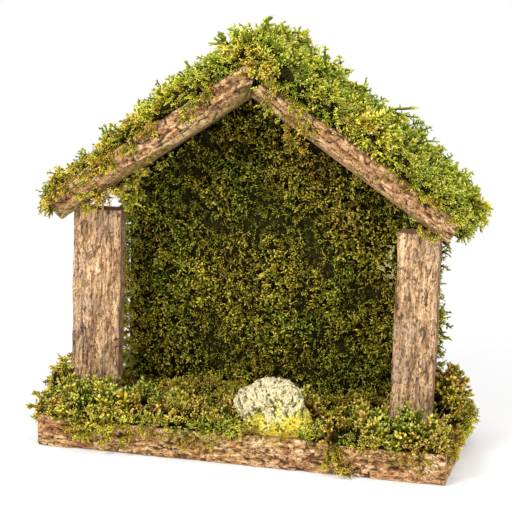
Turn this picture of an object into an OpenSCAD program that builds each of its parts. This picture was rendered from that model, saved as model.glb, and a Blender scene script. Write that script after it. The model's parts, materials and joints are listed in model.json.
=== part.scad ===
// Nativity stable: a bark-faced wooden shelter on a mossy base.
// Right is +X, the back is +Y, and the origin is the middle of the base's underside.

/* [Base] */
// Width of the base over its bark
base_w = 290; // [240:1:360]
// Depth of the base over its bark
base_d = 130; // [120:1:170]
// Thickness of the base board
base_h = 22; // [16:1:30]
// Thickness of the bark strips round the base
strip_t = 6; // [5:0.5:8]

/* [Posts] */
// Width of the left post
left_post_w = 35; // [26:1:44]
// Outer edge of the left post, in from the left end of the base
left_post_inset = 9; // [6:1:16]
// Height of the left post's sawn top above the table
left_post_top = 163; // [158:0.5:170]
// How far the foot of the left post stands to the left of its top
left_post_lean = 2; // [0:0.5:4]
// Width of the right post
right_post_w = 29; // [24:1:40]
// Outer edge of the right post, in from the right end of the base
right_post_inset = 18; // [13:1:26]
// Height of the right post's sawn top above the table
right_post_top = 162; // [159:0.5:168]
// How far the foot of the right post stands to the left of its top
right_post_lean = 1; // [0:0.5:4]
// Thickness of a post from its sawn back to its bark
post_t = 16; // [12:1:20]
// Front of the posts, back from the front of the base
post_setback = 47; // [42:1:52]

/* [Back panel] */
// Left edge of the back panel, in from the left end of the base
panel_left_inset = 32; // [22:1:44]
// Right edge of the back panel, in from the right end of the base
panel_right_inset = 26; // [20:1:40]
// Thickness of the back panel
panel_t = 5; // [4:0.5:8]
// Rear face of the back panel, in from the rear of the base
panel_rear_inset = 12; // [9:1:19]

/* [Roof] */
// Inner corner of the ridge, left of the middle
ridge_left = 7.4; // [0:0.1:12]
// Pitch of the left roof in degrees
left_pitch = 34.9; // [33:0.1:37]
// How deep the left roof is seated into the outer top corner of its post
left_seat_depth = 2.5; // [1:0.1:5]
// How deep the right roof is seated into the outer top corner of its post
right_seat_depth = 0.8; // [0.4:0.1:4]
// Lower corner of the left roof's eave, in from the left end of the base
left_eave_inset = 1.9; // [0:0.1:6]
// Lower corner of the right roof's eave, in from the right end of the base
right_eave_inset = 11.9; // [4:0.1:16]
// Thickness of the roof panels
roof_t = 6; // [5:0.5:8]
// Rear edge of the roof panels, in from the rear of the base
roof_rear_inset = 7; // [0:1:9]

/* [Rafters] */
// Width of the left rafter's bark strip
left_rafter_w = 20; // [16:0.5:24]
// Width of the right rafter's bark strip
right_rafter_w = 15.5; // [13:0.5:20]
// Thickness of the rafters' bark strips
rafter_t = 8; // [6:0.5:11]
// Rise of the right rafter above the underside of its roof
right_rafter_lift = 2; // [0:0.5:2.5]

/* [Bark] */
// Depth of the furrows in the posts' bark
post_furrow = 2.2; // [1:0.1:3]
// Depth of the furrows in the rafters' bark
rafter_furrow = 1.6; // [1:0.1:2.4]
// Depth of the furrows in the base's bark
strip_furrow = 1.4; // [0.8:0.1:2]
// Wander of a slab's waney edges
waney = 0.8; // [0:0.1:1.2]

/* [Moss] */
// Greatest thickness of the roof's moss
roof_moss_t = 34; // [22:1:44]
// Overhang of the roof's moss past the eaves
eave_moss = 11; // [6:1:20]
// Overhang of the roof's moss past the rear edges of the roof
rear_moss = 4; // [2:0.5:6]
// Thickness of the moss on the back panel
back_moss_t = 8; // [5:0.5:11]
// Greatest height of the moss along the front
front_moss_h = 17; // [10:1:24]
// Height of the moss inside the stable
inner_moss_h = 6; // [3:0.5:9]
// Thickness of the clumps that hang over bark
clump_t = 7; // [4:0.5:10]

/* [Stone] */
// Width of the stone
stone_w = 58; // [44:1:64]
// Depth of the stone
stone_d = 26; // [20:1:28]
// Height of the stone
stone_h = 38; // [26:1:44]
// Middle of the stone, right of the middle
stone_x = 21; // [10:1:30]

/* [Hidden] */

// Clearance between pieces that sit side by side
gap = 0.3;
// Overrun of every cut past the face that it leaves
over = 5;
// Reach of the blocks that trim a piece to a plane
reach = 600;

// Nails driven up from below: shank, length in the piece above, head, and the hole's extra radius
nail_d = 1.8;
nail_bite = 22;
nail_head_d = 4.2;
nail_head_t = 1.2;
nail_sink = 0.4;
hole_ease = 0.1;
nail_sides = 24;

// Pins through bark and roof: shank, length in the piece behind, and head
brad_d = 1.2;
brad_bite = 12;
brad_head_d = 2;
brad_head_t = 0.6;
brad_sink = 3;

// Sides of the frame, from the middle
left_post_out = base_w / 2 - left_post_inset;
right_post_out = base_w / 2 - right_post_inset;
panel_left = base_w / 2 - panel_left_inset;
panel_right = base_w / 2 - panel_right_inset;

// Faces of the frame, front to back
post_front = base_d / 2 - post_setback;
post_back_y = post_t - post_front;
panel_rear = base_d / 2 - panel_rear_inset;
roof_rear = base_d / 2 - roof_rear_inset;
roof_front_y = -post_front;
panel_front_y = panel_rear - panel_t;
panel_mid_y = panel_rear - panel_t / 2;
moss_front_y = panel_front_y - back_moss_t;
roof_depth = roof_rear - roof_front_y;
ridge_x = -ridge_left;
left_tip = left_rafter_w * 0.6;

// Roof on its posts: the left pitch sets the ridge, and the right roof falls from there to its post
ridge_z = left_post_top - left_seat_depth + (left_post_out + ridge_x) * tan(left_pitch);
right_pitch = atan((ridge_z + right_seat_depth - right_post_top) / (right_post_out - ridge_x));
left_slope = (base_w / 2 - left_eave_inset + ridge_x) / cos(left_pitch);
right_slope = (base_w / 2 - right_eave_inset - ridge_x) / cos(right_pitch);

// Underside of the left roof at a place x left of the ridge
function left_roof_z(x) = ridge_z - (ridge_x - x) * tan(left_pitch);

// Underside of the right roof at a place x right of the ridge
function right_roof_z(x) = ridge_z - (x - ridge_x) * tan(right_pitch);

// Places of the pins, as shares of the lengths that they follow
strip_pin_shares = [0.12, 0.5, 0.88];
strip_end_pin_shares = [0.25, 0.75];
roof_pin_shares = [0.4, 0.62, 0.84];
rafter_pin_shares = [0.22, 0.55, 0.86];
panel_pin_shares = [0.1, 0.37, 0.63, 0.9];
post_pin_shares = [0.3, 0.7];

// A smooth lump in 0 to 1 over the unit square
function lump(a, b, seed) =
    0.5 + 0.2 * sin(360 * 1.3 * a + 2 * seed) * cos(360 * 0.9 * b + seed)
    + 0.18 * sin(360 * (2.7 * a + 1.1 * b) + 3 * seed)
    + 0.12 * cos(360 * (4.3 * b - 1.9 * a) + 5 * seed)
    + 0.14 * sin(360 * 6.1 * a + seed) * sin(360 * 3.7 * b + 4 * seed);

// A wave in -1 to 1 along a border
function ripple(a, seed) =
    0.6 * sin(360 * 2.2 * a + seed) + 0.4 * sin(360 * 5.1 * a + 3 * seed);

// Rounding of a mat towards its borders: 1 in the middle and 0 on the border
function pillow(a, power) = sqrt(1 - pow(abs(2 * a - 1), power));

// Depth of bark furrows in 0 to 1, at share s along the grain and share t across it
function furrow(s, t, rows, turns, seed) =
    let (
        drift = 0.3 * sin(360 * turns * s + seed) + 0.16 * sin(360 * 2.3 * turns * s + 2 * seed),
        crossing = 0.2 * sin(360 * 3.1 * turns * s + 90 * t + 3 * seed)
    )
    pow(1 - abs(sin(180 * (rows * t + drift))), 2) * (0.8 + crossing);

// Bark slab: grain along X from 0, width up Z from 0, sawn back on Y = 0, bark towards -Y.
// Its face falls away by one share of the thickness at its low edge and another at its high edge,
// and its upper edge narrows by a share of the width over the last part of its length.
module bark_slab(length, width, thick, depth, rows, turns, along, across, seed,
        low_share = 0.2, high_share = 0.2, narrow_share = 0) {
    function low(s) = waney * ripple(0.6 * s, seed);
    function high(s) = width * (1 - narrow_share * max(0, 2.5 * s - 1.5))
        + waney * ripple(0.6 * s, 2 * seed + 50);
    function fall(t) = low_share * pow(max(0, 1 - 2 * t), 2.5) + high_share * pow(max(0, 2 * t - 1), 3);
    function face(s, t) = -thick * (1 - fall(t)) + depth * furrow(s, t, rows, turns, seed);
    function station(s) = concat(
        [[length * s, 0, low(s)]],
        [for (j = [0:across]) let (t = j / across)
            [length * s, face(s, t), low(s) + (high(s) - low(s)) * t]],
        [[length * s, 0, high(s)]]
    );
    ring = across + 3;
    points = [for (i = [0:along]) each station(i / along)];
    sides = [for (i = [0:along - 1], k = [0:ring - 1])
        let (a = i * ring + k, b = i * ring + (k + 1) % ring)
        each [[a, b, b + ring], [a, b + ring, a + ring]]];
    caps = [[for (k = [ring - 1:-1:0]) k], [for (k = [0:ring - 1]) along * ring + k]];
    polyhedron(points, concat(sides, caps), convexity = 6);
}

// Closed solid under a grid of points place(a, b), with feet foot(a, b) under the grid's border
module mat_solid(along, across, place, foot) {
    row = across + 1;
    count = (along + 1) * row;
    tops = [for (i = [0:along], j = [0:across]) place(i / along, j / across)];
    border = concat(
        [for (i = [0:along]) [i, 0]],
        [for (j = [1:across]) [along, j]],
        [for (i = [along - 1:-1:0]) [i, across]],
        [for (j = [across - 1:-1:1]) [0, j]]
    );
    edge = len(border);
    feet = concat([for (k = border) foot(k[0] / along, k[1] / across)], [foot(0.5, 0.5)]);
    rim = [for (k = border) k[0] * row + k[1]];
    skin = [for (i = [0:along - 1], j = [0:across - 1])
        let (p = i * row + j)
        each [[p, p + 1, p + row + 1], [p, p + row + 1, p + row]]];
    walls = [for (k = [0:edge - 1]) let (next = (k + 1) % edge)
        each [[rim[k], rim[next], count + next], [rim[k], count + next, count + k]]];
    floor = [for (k = [0:edge - 1]) [count + edge, count + k, count + (k + 1) % edge]];
    polyhedron(concat(tops, feet), concat(skin, walls, floor), convexity = 6);
}

// Moss mat on Z = 0 over X from 0 to length and Y from 0 to depth, with lumps, ragged borders
// and corners drawn in by a share
module moss_mat(length, depth, rise, lip, ragged, along, across, seed, power = 4, mound = undef,
        corner_share = 0) {
    function ease(a, b) =
        pillow(a, power) * pillow(b, power) * (mound == undef ? 1 : mound(a, b));
    function drawn(a, b) = 0.5 + (a - 0.5) * (1 - corner_share * pow(abs(2 * b - 1), 3));
    flat = function (a, b) [
        length * drawn(a, b) + ragged * ((1 - a) * ripple(b, seed) + a * ripple(b, seed + 70)),
        depth * drawn(b, a) + ragged * ((1 - b) * ripple(a, seed + 20) + b * ripple(a, seed + 130)),
        0
    ];
    mat_solid(along, across,
        function (a, b) flat(a, b)
            + [0, 0, lip + (rise - lip) * ease(a, b) * (0.66 + 0.34 * lump(a, b, seed))],
        flat);
}

// A nail pointing up from Z = 0, where its head's underside is, into the piece above
module nail(length, grow = 0) {
    cylinder(d = nail_d + 2 * grow, h = length + grow, $fn = nail_sides);
    translate([0, 0, -nail_head_t - (grow > 0 ? nail_sink + over : 0)])
        cylinder(d = nail_head_d + 2 * grow,
            h = nail_head_t + (grow > 0 ? nail_sink + over : 0), $fn = nail_sides);
}

// A pin pointing up from the underside of its head, with an open way behind the head when grown
module brad(length, grow = 0, clear = 0) {
    cylinder(d = brad_d + 2 * grow, h = length + grow, $fn = nail_sides);
    translate([0, 0, -brad_head_t - clear])
        cylinder(d = brad_head_d + 2 * grow, h = brad_head_t + clear, $fn = nail_sides);
}

// Frame of the left roof: X up the slope from the eave, Z out of the roof, Z = 0 on its underside
module on_left_roof() {
    translate([ridge_x, 0, ridge_z]) rotate([0, -left_pitch, 0])
        translate([-left_slope, 0, 0]) children();
}

// Frame of the right roof, the mirror image of the left one
module on_right_roof() {
    translate([ridge_x, 0, ridge_z]) mirror([1, 0, 0]) rotate([0, -right_pitch, 0])
        translate([-right_slope, 0, 0]) children();
}

// Half of space left or right of the ridge, within reach
module ridge_side(side) {
    translate([ridge_x + (side > 0 ? 0 : -reach), -reach / 2, 0])
        cube([reach, reach, reach]);
}

// Nails through the base board
module base_nails(grow = 0) {
    post_nail_places(grow);
    panel_nail_places(grow);
}

module post_nail_places(grow = 0) {
    rise = base_h - nail_head_t - nail_sink;
    for (share = post_pin_shares) {
        translate([-left_post_out - left_post_lean + left_post_w * share, post_back_y - post_t / 3,
            nail_head_t + nail_sink]) nail(rise + nail_bite, grow);
        translate([right_post_out - right_post_lean - right_post_w * share, post_back_y - post_t / 3,
            nail_head_t + nail_sink]) nail(rise + nail_bite, grow);
    }
}

module panel_nail_places(grow = 0) {
    rise = base_h - nail_head_t - nail_sink;
    for (share = panel_pin_shares)
        translate([-panel_left + (panel_left + panel_right) * share, panel_mid_y,
            nail_head_t + nail_sink]) nail(rise + nail_bite, grow);
}

// Pins through the four bark strips into the edges of the board
module strip_pins(grow = 0) {
    inner_w = base_w - 2 * strip_t;
    clear = grow > 0 ? over : 0;
    for (share = strip_pin_shares, side = [-1, 1])
        translate([-base_w / 2 + base_w * share, side * (base_d / 2 - brad_sink), base_h / 2])
            rotate([side * 90, 0, 0]) brad(strip_t - brad_sink + brad_bite, grow, clear);
    for (share = strip_end_pin_shares, side = [-1, 1])
        translate([side * (base_w / 2 - brad_sink), -base_d / 2 + base_d * share, base_h / 2])
            rotate([0, -side * 90, 0]) brad(strip_t - brad_sink + brad_bite, grow, clear);
}

// Pins down through a roof panel into the back panel and the post, in the frame of that roof
module roof_pins(slope, post_reach, grow = 0) {
    clear = grow > 0 ? over : 0;
    for (share = roof_pin_shares)
        translate([slope * share, panel_mid_y, roof_t - brad_head_t])
            mirror([0, 0, 1]) brad(roof_t - brad_head_t + brad_bite, grow, clear);
    translate([post_reach, post_back_y - post_t / 2, roof_t - brad_head_t])
        mirror([0, 0, 1]) brad(roof_t - brad_head_t + brad_bite, grow, clear);
}

// Place of a post's pin up the slope, just inside the post's outer edge
seat_inset = 2.4;
left_seat = left_slope - (left_post_out + ridge_x - seat_inset) / cos(left_pitch);
right_seat = right_slope - (right_post_out - ridge_x - seat_inset) / cos(right_pitch);

module left_roof_pins(grow = 0) {
    on_left_roof() roof_pins(left_slope, left_seat, grow);
}

module right_roof_pins(grow = 0) {
    on_right_roof() roof_pins(right_slope, right_seat, grow);
}

// Pins through the rafters into the front edges of the roof panels
module rafter_pins(grow = 0) {
    clear = grow > 0 ? over : 0;
    head_y = roof_front_y - rafter_t + brad_sink;
    on_left_roof() for (share = rafter_pin_shares)
        translate([left_slope * share, head_y, roof_t / 2])
            rotate([-90, 0, 0]) brad(rafter_t - brad_sink + brad_bite, grow, clear);
    on_right_roof() for (share = rafter_pin_shares)
        translate([right_slope * share, head_y, (roof_t + right_rafter_lift) / 2])
            rotate([-90, 0, 0]) brad(rafter_t - brad_sink + brad_bite, grow, clear);
}

// Everything above the undersides of the roof panels, for seating what stands under them
module above_roof(ease = 0) {
    translate([0, -reach / 2, 0]) rotate([90, 0, 0]) mirror([0, 0, 1])
        linear_extrude(reach) polygon([
            [ridge_x - reach, left_roof_z(ridge_x - reach) - ease],
            [ridge_x, ridge_z - ease],
            [ridge_x + reach, right_roof_z(ridge_x + reach) - ease],
            [ridge_x + reach, ridge_z + reach],
            [ridge_x - reach, ridge_z + reach]
        ]);
}

// Base board inside its four bark strips
module base_board() {
    color("#8a6a48") difference() {
        translate([strip_t - base_w / 2, strip_t - base_d / 2, 0])
            cube([base_w - 2 * strip_t, base_d - 2 * strip_t, base_h]);
        base_nails(hole_ease);
        strip_pins(hole_ease);
    }
}

// A long strip runs the full width, bark towards -Y, with its sawn back on the board
module long_strip(seed) {
    translate([-base_w / 2, strip_t - base_d / 2, 0]) intersection() {
        bark_slab(base_w, base_h, strip_t, strip_furrow, 3, 4, 36, 8, seed, 0.1, 0.1);
        translate([0, -strip_t - over, 0]) cube([base_w, strip_t + over, base_h]);
    }
}

// A short strip fits between the long ones
module short_strip(seed) {
    length = base_d - 2 * strip_t - 2 * gap;
    translate([-length / 2, strip_t - base_w / 2, 0]) intersection() {
        bark_slab(length, base_h, strip_t, strip_furrow, 3, 2, 16, 8, seed, 0.1, 0.1);
        translate([0, -strip_t - over, 0]) cube([length, strip_t + over, base_h]);
    }
}

module front_bark_strip() {
    color("#b08a62") difference() {
        long_strip(15);
        strip_pins(hole_ease);
    }
}

module rear_bark_strip() {
    color("#b08a62") difference() {
        rotate([0, 0, 180]) long_strip(75);
        strip_pins(hole_ease);
    }
}

module left_bark_strip() {
    color("#b08a62") difference() {
        rotate([0, 0, -90]) short_strip(135);
        strip_pins(hole_ease);
    }
}

module right_bark_strip() {
    color("#b08a62") difference() {
        rotate([0, 0, 90]) short_strip(205);
        strip_pins(hole_ease);
    }
}

module strip_brads() {
    color("#9a9a98") strip_pins();
}

// A post turned upright: grain up, bark to the front, its foot to the left of its top
module post(width, top, lean, seed) {
    length = top - base_h;
    tilt = atan(lean / length);
    translate([0, post_back_y, base_h]) intersection() {
        translate([width, 0, -over]) rotate([0, -90 + tilt, 0])
            bark_slab(length + 2 * over, width, post_t, post_furrow, 4, 1.4, 20, 20, seed);
        translate([-reach / 2, -reach / 2, 0]) cube([reach, reach, length]);
    }
}

module left_post() {
    color("#b5906a") difference() {
        translate([-left_post_out - left_post_lean, 0, 0])
            post(left_post_w, left_post_top, left_post_lean, 35);
        above_roof();
        base_nails(hole_ease);
        left_roof_pins(hole_ease);
    }
}

module right_post() {
    color("#b5906a") difference() {
        translate([right_post_out - right_post_lean - right_post_w, 0, 0])
            post(right_post_w, right_post_top, right_post_lean, 95);
        above_roof();
        base_nails(hole_ease);
        right_roof_pins(hole_ease);
    }
}

module post_nails() {
    color("#9a9a98") post_nail_places();
}

// Five-sided back panel, cut to the slopes of the roof
module back_panel() {
    color("#9b7a55") difference() {
        translate([0, panel_rear, 0]) rotate([90, 0, 0]) linear_extrude(panel_t) polygon([
            [-panel_left, base_h],
            [panel_right, base_h],
            [panel_right, right_roof_z(panel_right)],
            [ridge_x, ridge_z],
            [-panel_left, left_roof_z(-panel_left)]
        ]);
        base_nails(hole_ease);
        left_roof_pins(hole_ease);
        right_roof_pins(hole_ease);
    }
}

module back_panel_nails() {
    color("#9a9a98") panel_nail_places();
}

// A roof panel as long as its slope, mitred on the ridge
module roof_board(slope, side) {
    intersection() {
        if (side < 0)
            on_left_roof() translate([0, roof_front_y, 0])
                cube([slope + 2 * roof_t, roof_depth, roof_t]);
        else
            on_right_roof() translate([0, roof_front_y, 0])
                cube([slope + 2 * roof_t, roof_depth, roof_t]);
        ridge_side(side);
    }
}

module roof_panel_left() {
    color("#8f6f4c") difference() {
        roof_board(left_slope, -1);
        left_roof_pins(hole_ease);
        rafter_pins(hole_ease);
    }
}

module roof_panel_right() {
    color("#8f6f4c") difference() {
        roof_board(right_slope, 1);
        right_roof_pins(hole_ease);
        rafter_pins(hole_ease);
    }
}

module roof_brads_left() {
    color("#9a9a98") left_roof_pins();
}

module roof_brads_right() {
    color("#9a9a98") right_roof_pins();
}

// Left rafter: its upper end is hacked to a blunt point that laps past the ridge
module rafter_left() {
    color("#a67c5c") difference() {
        on_left_roof() translate([0, roof_front_y, 0]) difference() {
            bark_slab(left_slope + left_tip, left_rafter_w, rafter_t, rafter_furrow,
                2.5, 1.6, 26, 14, 155, 0.5, 0.15);
            rafter_cut() polygon([
                [left_slope, -over],
                [left_slope, 0],
                [left_slope + left_tip - waney, left_rafter_w / 2],
                [left_slope + left_tip - 2 * waney, left_rafter_w + over],
                [left_slope + left_tip + over, left_rafter_w + over],
                [left_slope + left_tip + over, -over]
            ]);
        }
        rafter_pins(hole_ease);
    }
}

// Right rafter: it stops short of the left one's point and narrows towards the ridge
module rafter_right() {
    color("#a67c5c") difference() {
        on_right_roof() translate([0, roof_front_y, right_rafter_lift])
            bark_slab(right_slope - right_rafter_lift, right_rafter_w, rafter_t, rafter_furrow,
                2, 1.6, 26, 12, 245, 0.45, 0.15, 0.3);
        rafter_pins(hole_ease);
    }
}

// A cut through the thickness of a rafter
module rafter_cut() {
    rotate([90, 0, 0]) translate([0, 0, -over]) linear_extrude(rafter_t + 2 * over) children();
}

module rafter_brads() {
    color("#9a9a98") rafter_pins();
}

// Moss on a roof panel, in the frame of that roof. It ends on the ridge's upright plane, its
// front stands behind the rafter and laps forward over the rafter's upper edge, and it is
// thinner at the eave than at the ridge.
module roof_mat(slope, pitch, rafter_top, full_share, seed) {
    length = eave_moss + slope + roof_t * tan(pitch);
    depth = roof_depth + rear_moss;
    shelf = rafter_top - roof_t + waney + gap;
    lap = rafter_t - 2 * gap;
    function ease(a, b) = pillow(a / 2, 6) * pillow(b, 6)
        * (0.62 + 0.38 * sin(90 * min(1, a / full_share)));
    function top(a, b) = (shelf + (roof_moss_t - shelf) * ease(a, b)
        * (0.66 + 0.34 * lump(a, b, seed))) * (1 - 0.6 * pow(1 - a, 24) * min(1, 8 * b));
    function back_y(b) = depth * (b < 0.2 ? b / 8 : 0.025 + 1.21875 * (b - 0.2));
    function nose(a, b) = b < 0.2 ? lap * sin(900 * b) * min(1, 9 * a, 9 * (1 - a)) : 0;
    flat = function (a, b) [
        length * a + 4 * waney * (1 - a) * ripple(b, seed),
        back_y(b) + 2 * waney * b * (1 - a) * ripple(a, seed + 130),
        0
    ];
    mat_solid(30, 20,
        function (a, b) flat(a, b) + [a * tan(pitch) * top(a, b), -nose(a, b), top(a, b)],
        flat);
}

module roof_moss_left() {
    color("#7f9a2c") on_left_roof() translate([-eave_moss, roof_front_y + gap, roof_t])
        roof_mat(left_slope, left_pitch, left_rafter_w, 0.55, 10);
}

module roof_moss_right() {
    color("#7f9a2c") on_right_roof() translate([-eave_moss, roof_front_y + gap, roof_t])
        roof_mat(right_slope, right_pitch, right_rafter_w + right_rafter_lift, 0.5, 60);
}

// Moss on the inner face of the back panel, up to the slopes of the roof
module back_moss() {
    left_x = gap - panel_left;
    right_x = panel_right - gap;
    function across_x(a) = a < 0.5 ? left_x + (ridge_x - left_x) * 2 * a
        : ridge_x + (right_x - ridge_x) * (2 * a - 1);
    function roof_z(x) = x < ridge_x ? left_roof_z(x) : right_roof_z(x);
    flat = function (a, b) let (x = across_x(a), low = base_h + gap)
        [x, low + (roof_z(x) - 2 * gap - low) * b, 0];
    color("#4f6420") translate([0, panel_front_y, 0]) rotate([90, 0, 0])
        mat_solid(22, 20,
            function (a, b) flat(a, b) + [0, 0, back_moss_t
                * (0.45 + 0.5 * pillow(a, 10) * pillow(b, 10) * (0.5 + 0.5 * lump(a, b, 40)))],
            flat);
}

// Moss on the base: a mat over a rectangle of the base's top
module ground_mat(x0, x1, y0, y1, rise, ragged, along, across, seed, mound = undef) {
    translate([x0, y0, base_h])
        moss_mat(x1 - x0, y1 - y0, rise, rise / 5, ragged, along, across, seed, 4, mound, 0.06);
}

// Borders of the ground mats
front_y = -base_d / 2;
front_row_y = roof_front_y - 4 * gap;
inner_left_x = left_post_w + 2 * waney - left_post_out;
inner_right_x = right_post_out - right_post_lean - right_post_w - 2 * waney;
stone_left_x = stone_x - stone_w / 2 - gap;
stone_right_x = stone_x + stone_w / 2 + gap;
side_front_y = post_back_y + 2 * waney;

module ground_moss_front_left() {
    color("#7f9a2c") difference() {
        ground_mat(-base_w / 2, stone_left_x, front_y, front_row_y,
            front_moss_h, waney, 14, 8, 25, function (a, b) 0.7 + 0.3 * (1 - a));
        left_post_clump_room();
    }
}

module ground_moss_front_centre() {
    color("#7f9a2c") ground_mat(stone_left_x + gap + waney, stone_right_x - gap - waney,
        front_y + stone_d + 2 * waney, front_row_y, front_moss_h, waney, 8, 6, 65);
}

module ground_moss_front_right() {
    color("#7f9a2c") ground_mat(stone_right_x, base_w / 2, front_y, front_row_y,
        front_moss_h, waney, 12, 8, 105, function (a, b) 0.75 + 0.25 * a);
}

module ground_moss_inner() {
    color("#6a8426") ground_mat(inner_left_x, inner_right_x, front_row_y + 3 * waney,
        moss_front_y - 2 * waney, inner_moss_h, waney / 2, 12, 5, 145);
}

module ground_moss_left() {
    color("#7f9a2c") ground_mat(-base_w / 2, inner_left_x - 3 * waney, side_front_y,
        moss_front_y - 2 * waney, front_moss_h, waney, 6, 6, 185,
        function (a, b) 0.7 + 0.3 * (1 - a));
}

module ground_moss_right() {
    color("#7f9a2c") ground_mat(inner_right_x + 3 * waney, base_w / 2, side_front_y,
        moss_front_y - 2 * waney, 2.2 * front_moss_h, waney, 8, 7, 215,
        function (a, b) 0.3 + 0.7 * a);
}

module ground_moss_rear() {
    color("#6a8426") ground_mat(-base_w / 2, base_w / 2, panel_rear + 2 * waney,
        base_d / 2, inner_moss_h, waney / 2, 24, 3, 255);
}

// A clump that hangs flat against a face: width along X, height down from Z = 0, back on Y = 0
module hanging_clump(width, height, thick, seed) {
    translate([-width / 2, 0, -height]) rotate([90, 0, 0])
        moss_mat(width, height, thick, thick / 4, waney, 8, 8, seed, 3,
            function (a, b) 0.6 + 0.4 * b, 0.4);
}

// Strip of the base beside the left post, and the clump's length and start there
post_clump_w = base_w / 2 - left_post_out - left_post_lean - 2 * waney;
post_clump_l = 2 * post_t;
post_clump_y = post_back_y - post_clump_l;

// Room that the clump beside the left post needs in the mat in front of it
module left_post_clump_room() {
    translate([-base_w / 2 - over, post_clump_y - waney - gap, base_h - over])
        cube([over + post_clump_w + waney + gap, post_clump_l + over, front_moss_h + 2 * over]);
}

// Clump that stands on the base's end beside the left post
module clump_left_post() {
    color("#9aa63a") translate([-base_w / 2 - post_clump_w, post_clump_y, base_h + gap])
        moss_mat(2 * post_clump_w, post_clump_l, 1.5 * front_moss_h, front_moss_h / 2, waney, 5, 7, 5, 4,
            undef, 0.3);
}

// Clump over the foot of the left rafter
module clump_left_rafter() {
    width = left_rafter_w;
    color("#9aa63a") on_left_roof()
        translate([width * 2.05, roof_front_y - rafter_t - gap, left_rafter_w + waney])
            rotate([0, left_pitch, 0]) hanging_clump(width, 1.5 * width, clump_t, 30);
}

// Clump that hangs under the left roof behind the rafter
module clump_left_roof() {
    width = 1.25 * left_rafter_w;
    color("#7f9a2c") on_left_roof()
        translate([1.55 * width, roof_front_y + 2 * waney, -gap]) mirror([0, 0, 1])
            moss_mat(width, post_t, width * 0.8, width / 6, waney, 7, 6, 80, 3, undef, 0.3);
}

// Clump over the upper end of the right rafter
module clump_right_rafter() {
    width = 1.5 * right_rafter_w;
    color("#9aa63a") on_right_roof()
        translate([right_slope - width * 1.35, roof_front_y - rafter_t - gap,
            right_rafter_w + right_rafter_lift + waney])
            rotate([0, right_pitch, 0]) hanging_clump(width, 1.4 * width, clump_t, 110);
}

// Clumps that hang over the front bark strip
module front_clump(x, width, height, seed) {
    translate([x, front_y - gap, base_h + clump_t / 2])
        hanging_clump(width, height + clump_t / 2, clump_t, seed);
}

module clump_front_left() {
    color("#7f9a2c") front_clump(-base_w / 3, base_w / 4.5, base_h * 0.55, 50);
}

module clump_front_middle() {
    color("#7f9a2c") front_clump(base_w / 4, base_w / 14, base_h - 2 * gap, 120);
}

module clump_front_right() {
    color("#7f9a2c") front_clump(base_w * 0.4, base_w / 8, base_h * 0.4, 170);
}

// Flocked stone: squared lump that leans back, undercut on its left and bulging low on its right
module stone() {
    turns = 20;
    left_shares = [0.38, 0.6, 0.78, 0.9, 0.99, 0.98, 0.92, 0.77, 0.5];
    right_shares = [0.94, 1, 1, 0.95, 0.85, 0.78, 0.74, 0.67, 0.5];
    depth_shares = [0.9, 1, 1, 0.97, 0.92, 0.86, 0.77, 0.64, 0.44];
    rings = len(left_shares);
    lean_share = 0.12;
    function body(k, i) =
        let (
            rise = k / rings,
            around = 360 * i / turns,
            lumps = 1 - 0.06 * lump(i / turns, rise, 33),
            across = sign(cos(around)) * pow(abs(cos(around)), 0.8),
            out = sign(sin(around)) * pow(abs(sin(around)), 0.8),
            side_share = across < 0 ? left_shares[k] : right_shares[k]
        )
        [
            stone_w / 2 * side_share * lumps * across,
            stone_d / 2 * depth_shares[k] * lumps * out + stone_d * lean_share * rise,
            stone_h * rise
        ];
    sides = [for (k = [0:rings - 2], i = [0:turns - 1])
        let (a = k * turns + i, b = k * turns + (i + 1) % turns)
        each [[a, b + turns, b], [a, a + turns, b + turns]]];
    crown = [for (i = [0:turns - 1])
        [(rings - 1) * turns + i, rings * turns, (rings - 1) * turns + (i + 1) % turns]];
    foot = [[for (i = [0:turns - 1]) i]];
    points = concat([for (k = [0:rings - 1], i = [0:turns - 1]) body(k, i)],
        [[0, stone_d * lean_share, stone_h]]);
    color("#c3b884") translate([stone_x, front_y + stone_d / 2 + strip_t / 2, base_h])
        polyhedron(points, concat(sides, crown, foot), convexity = 4);
}

base_board();
front_bark_strip();
rear_bark_strip();
left_bark_strip();
right_bark_strip();
strip_brads();
left_post();
right_post();
post_nails();
back_panel();
back_panel_nails();
roof_panel_left();
roof_panel_right();
roof_brads_left();
roof_brads_right();
rafter_left();
rafter_right();
rafter_brads();
roof_moss_left();
roof_moss_right();
back_moss();
ground_moss_front_left();
ground_moss_front_centre();
ground_moss_front_right();
ground_moss_inner();
ground_moss_left();
ground_moss_right();
ground_moss_rear();
clump_left_post();
clump_left_rafter();
clump_left_roof();
clump_right_rafter();
clump_front_left();
clump_front_middle();
clump_front_right();
stone();
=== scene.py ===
"""Wooden nativity stable: bark-faced slabs, sawn boards and glued moss, dressed on the CAD frame.

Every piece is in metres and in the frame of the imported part: right is +X, the back is +Y.
Sizes in the dataclass fields are in millimetres unless a field says otherwise.
"""
import json
import logging
import math
from dataclasses import dataclass, field
from enum import Enum
from functools import partial
from typing import Any, Callable, Mapping, Sequence

import bpy
import numpy as np
from mathutils import Matrix, Vector

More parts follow.
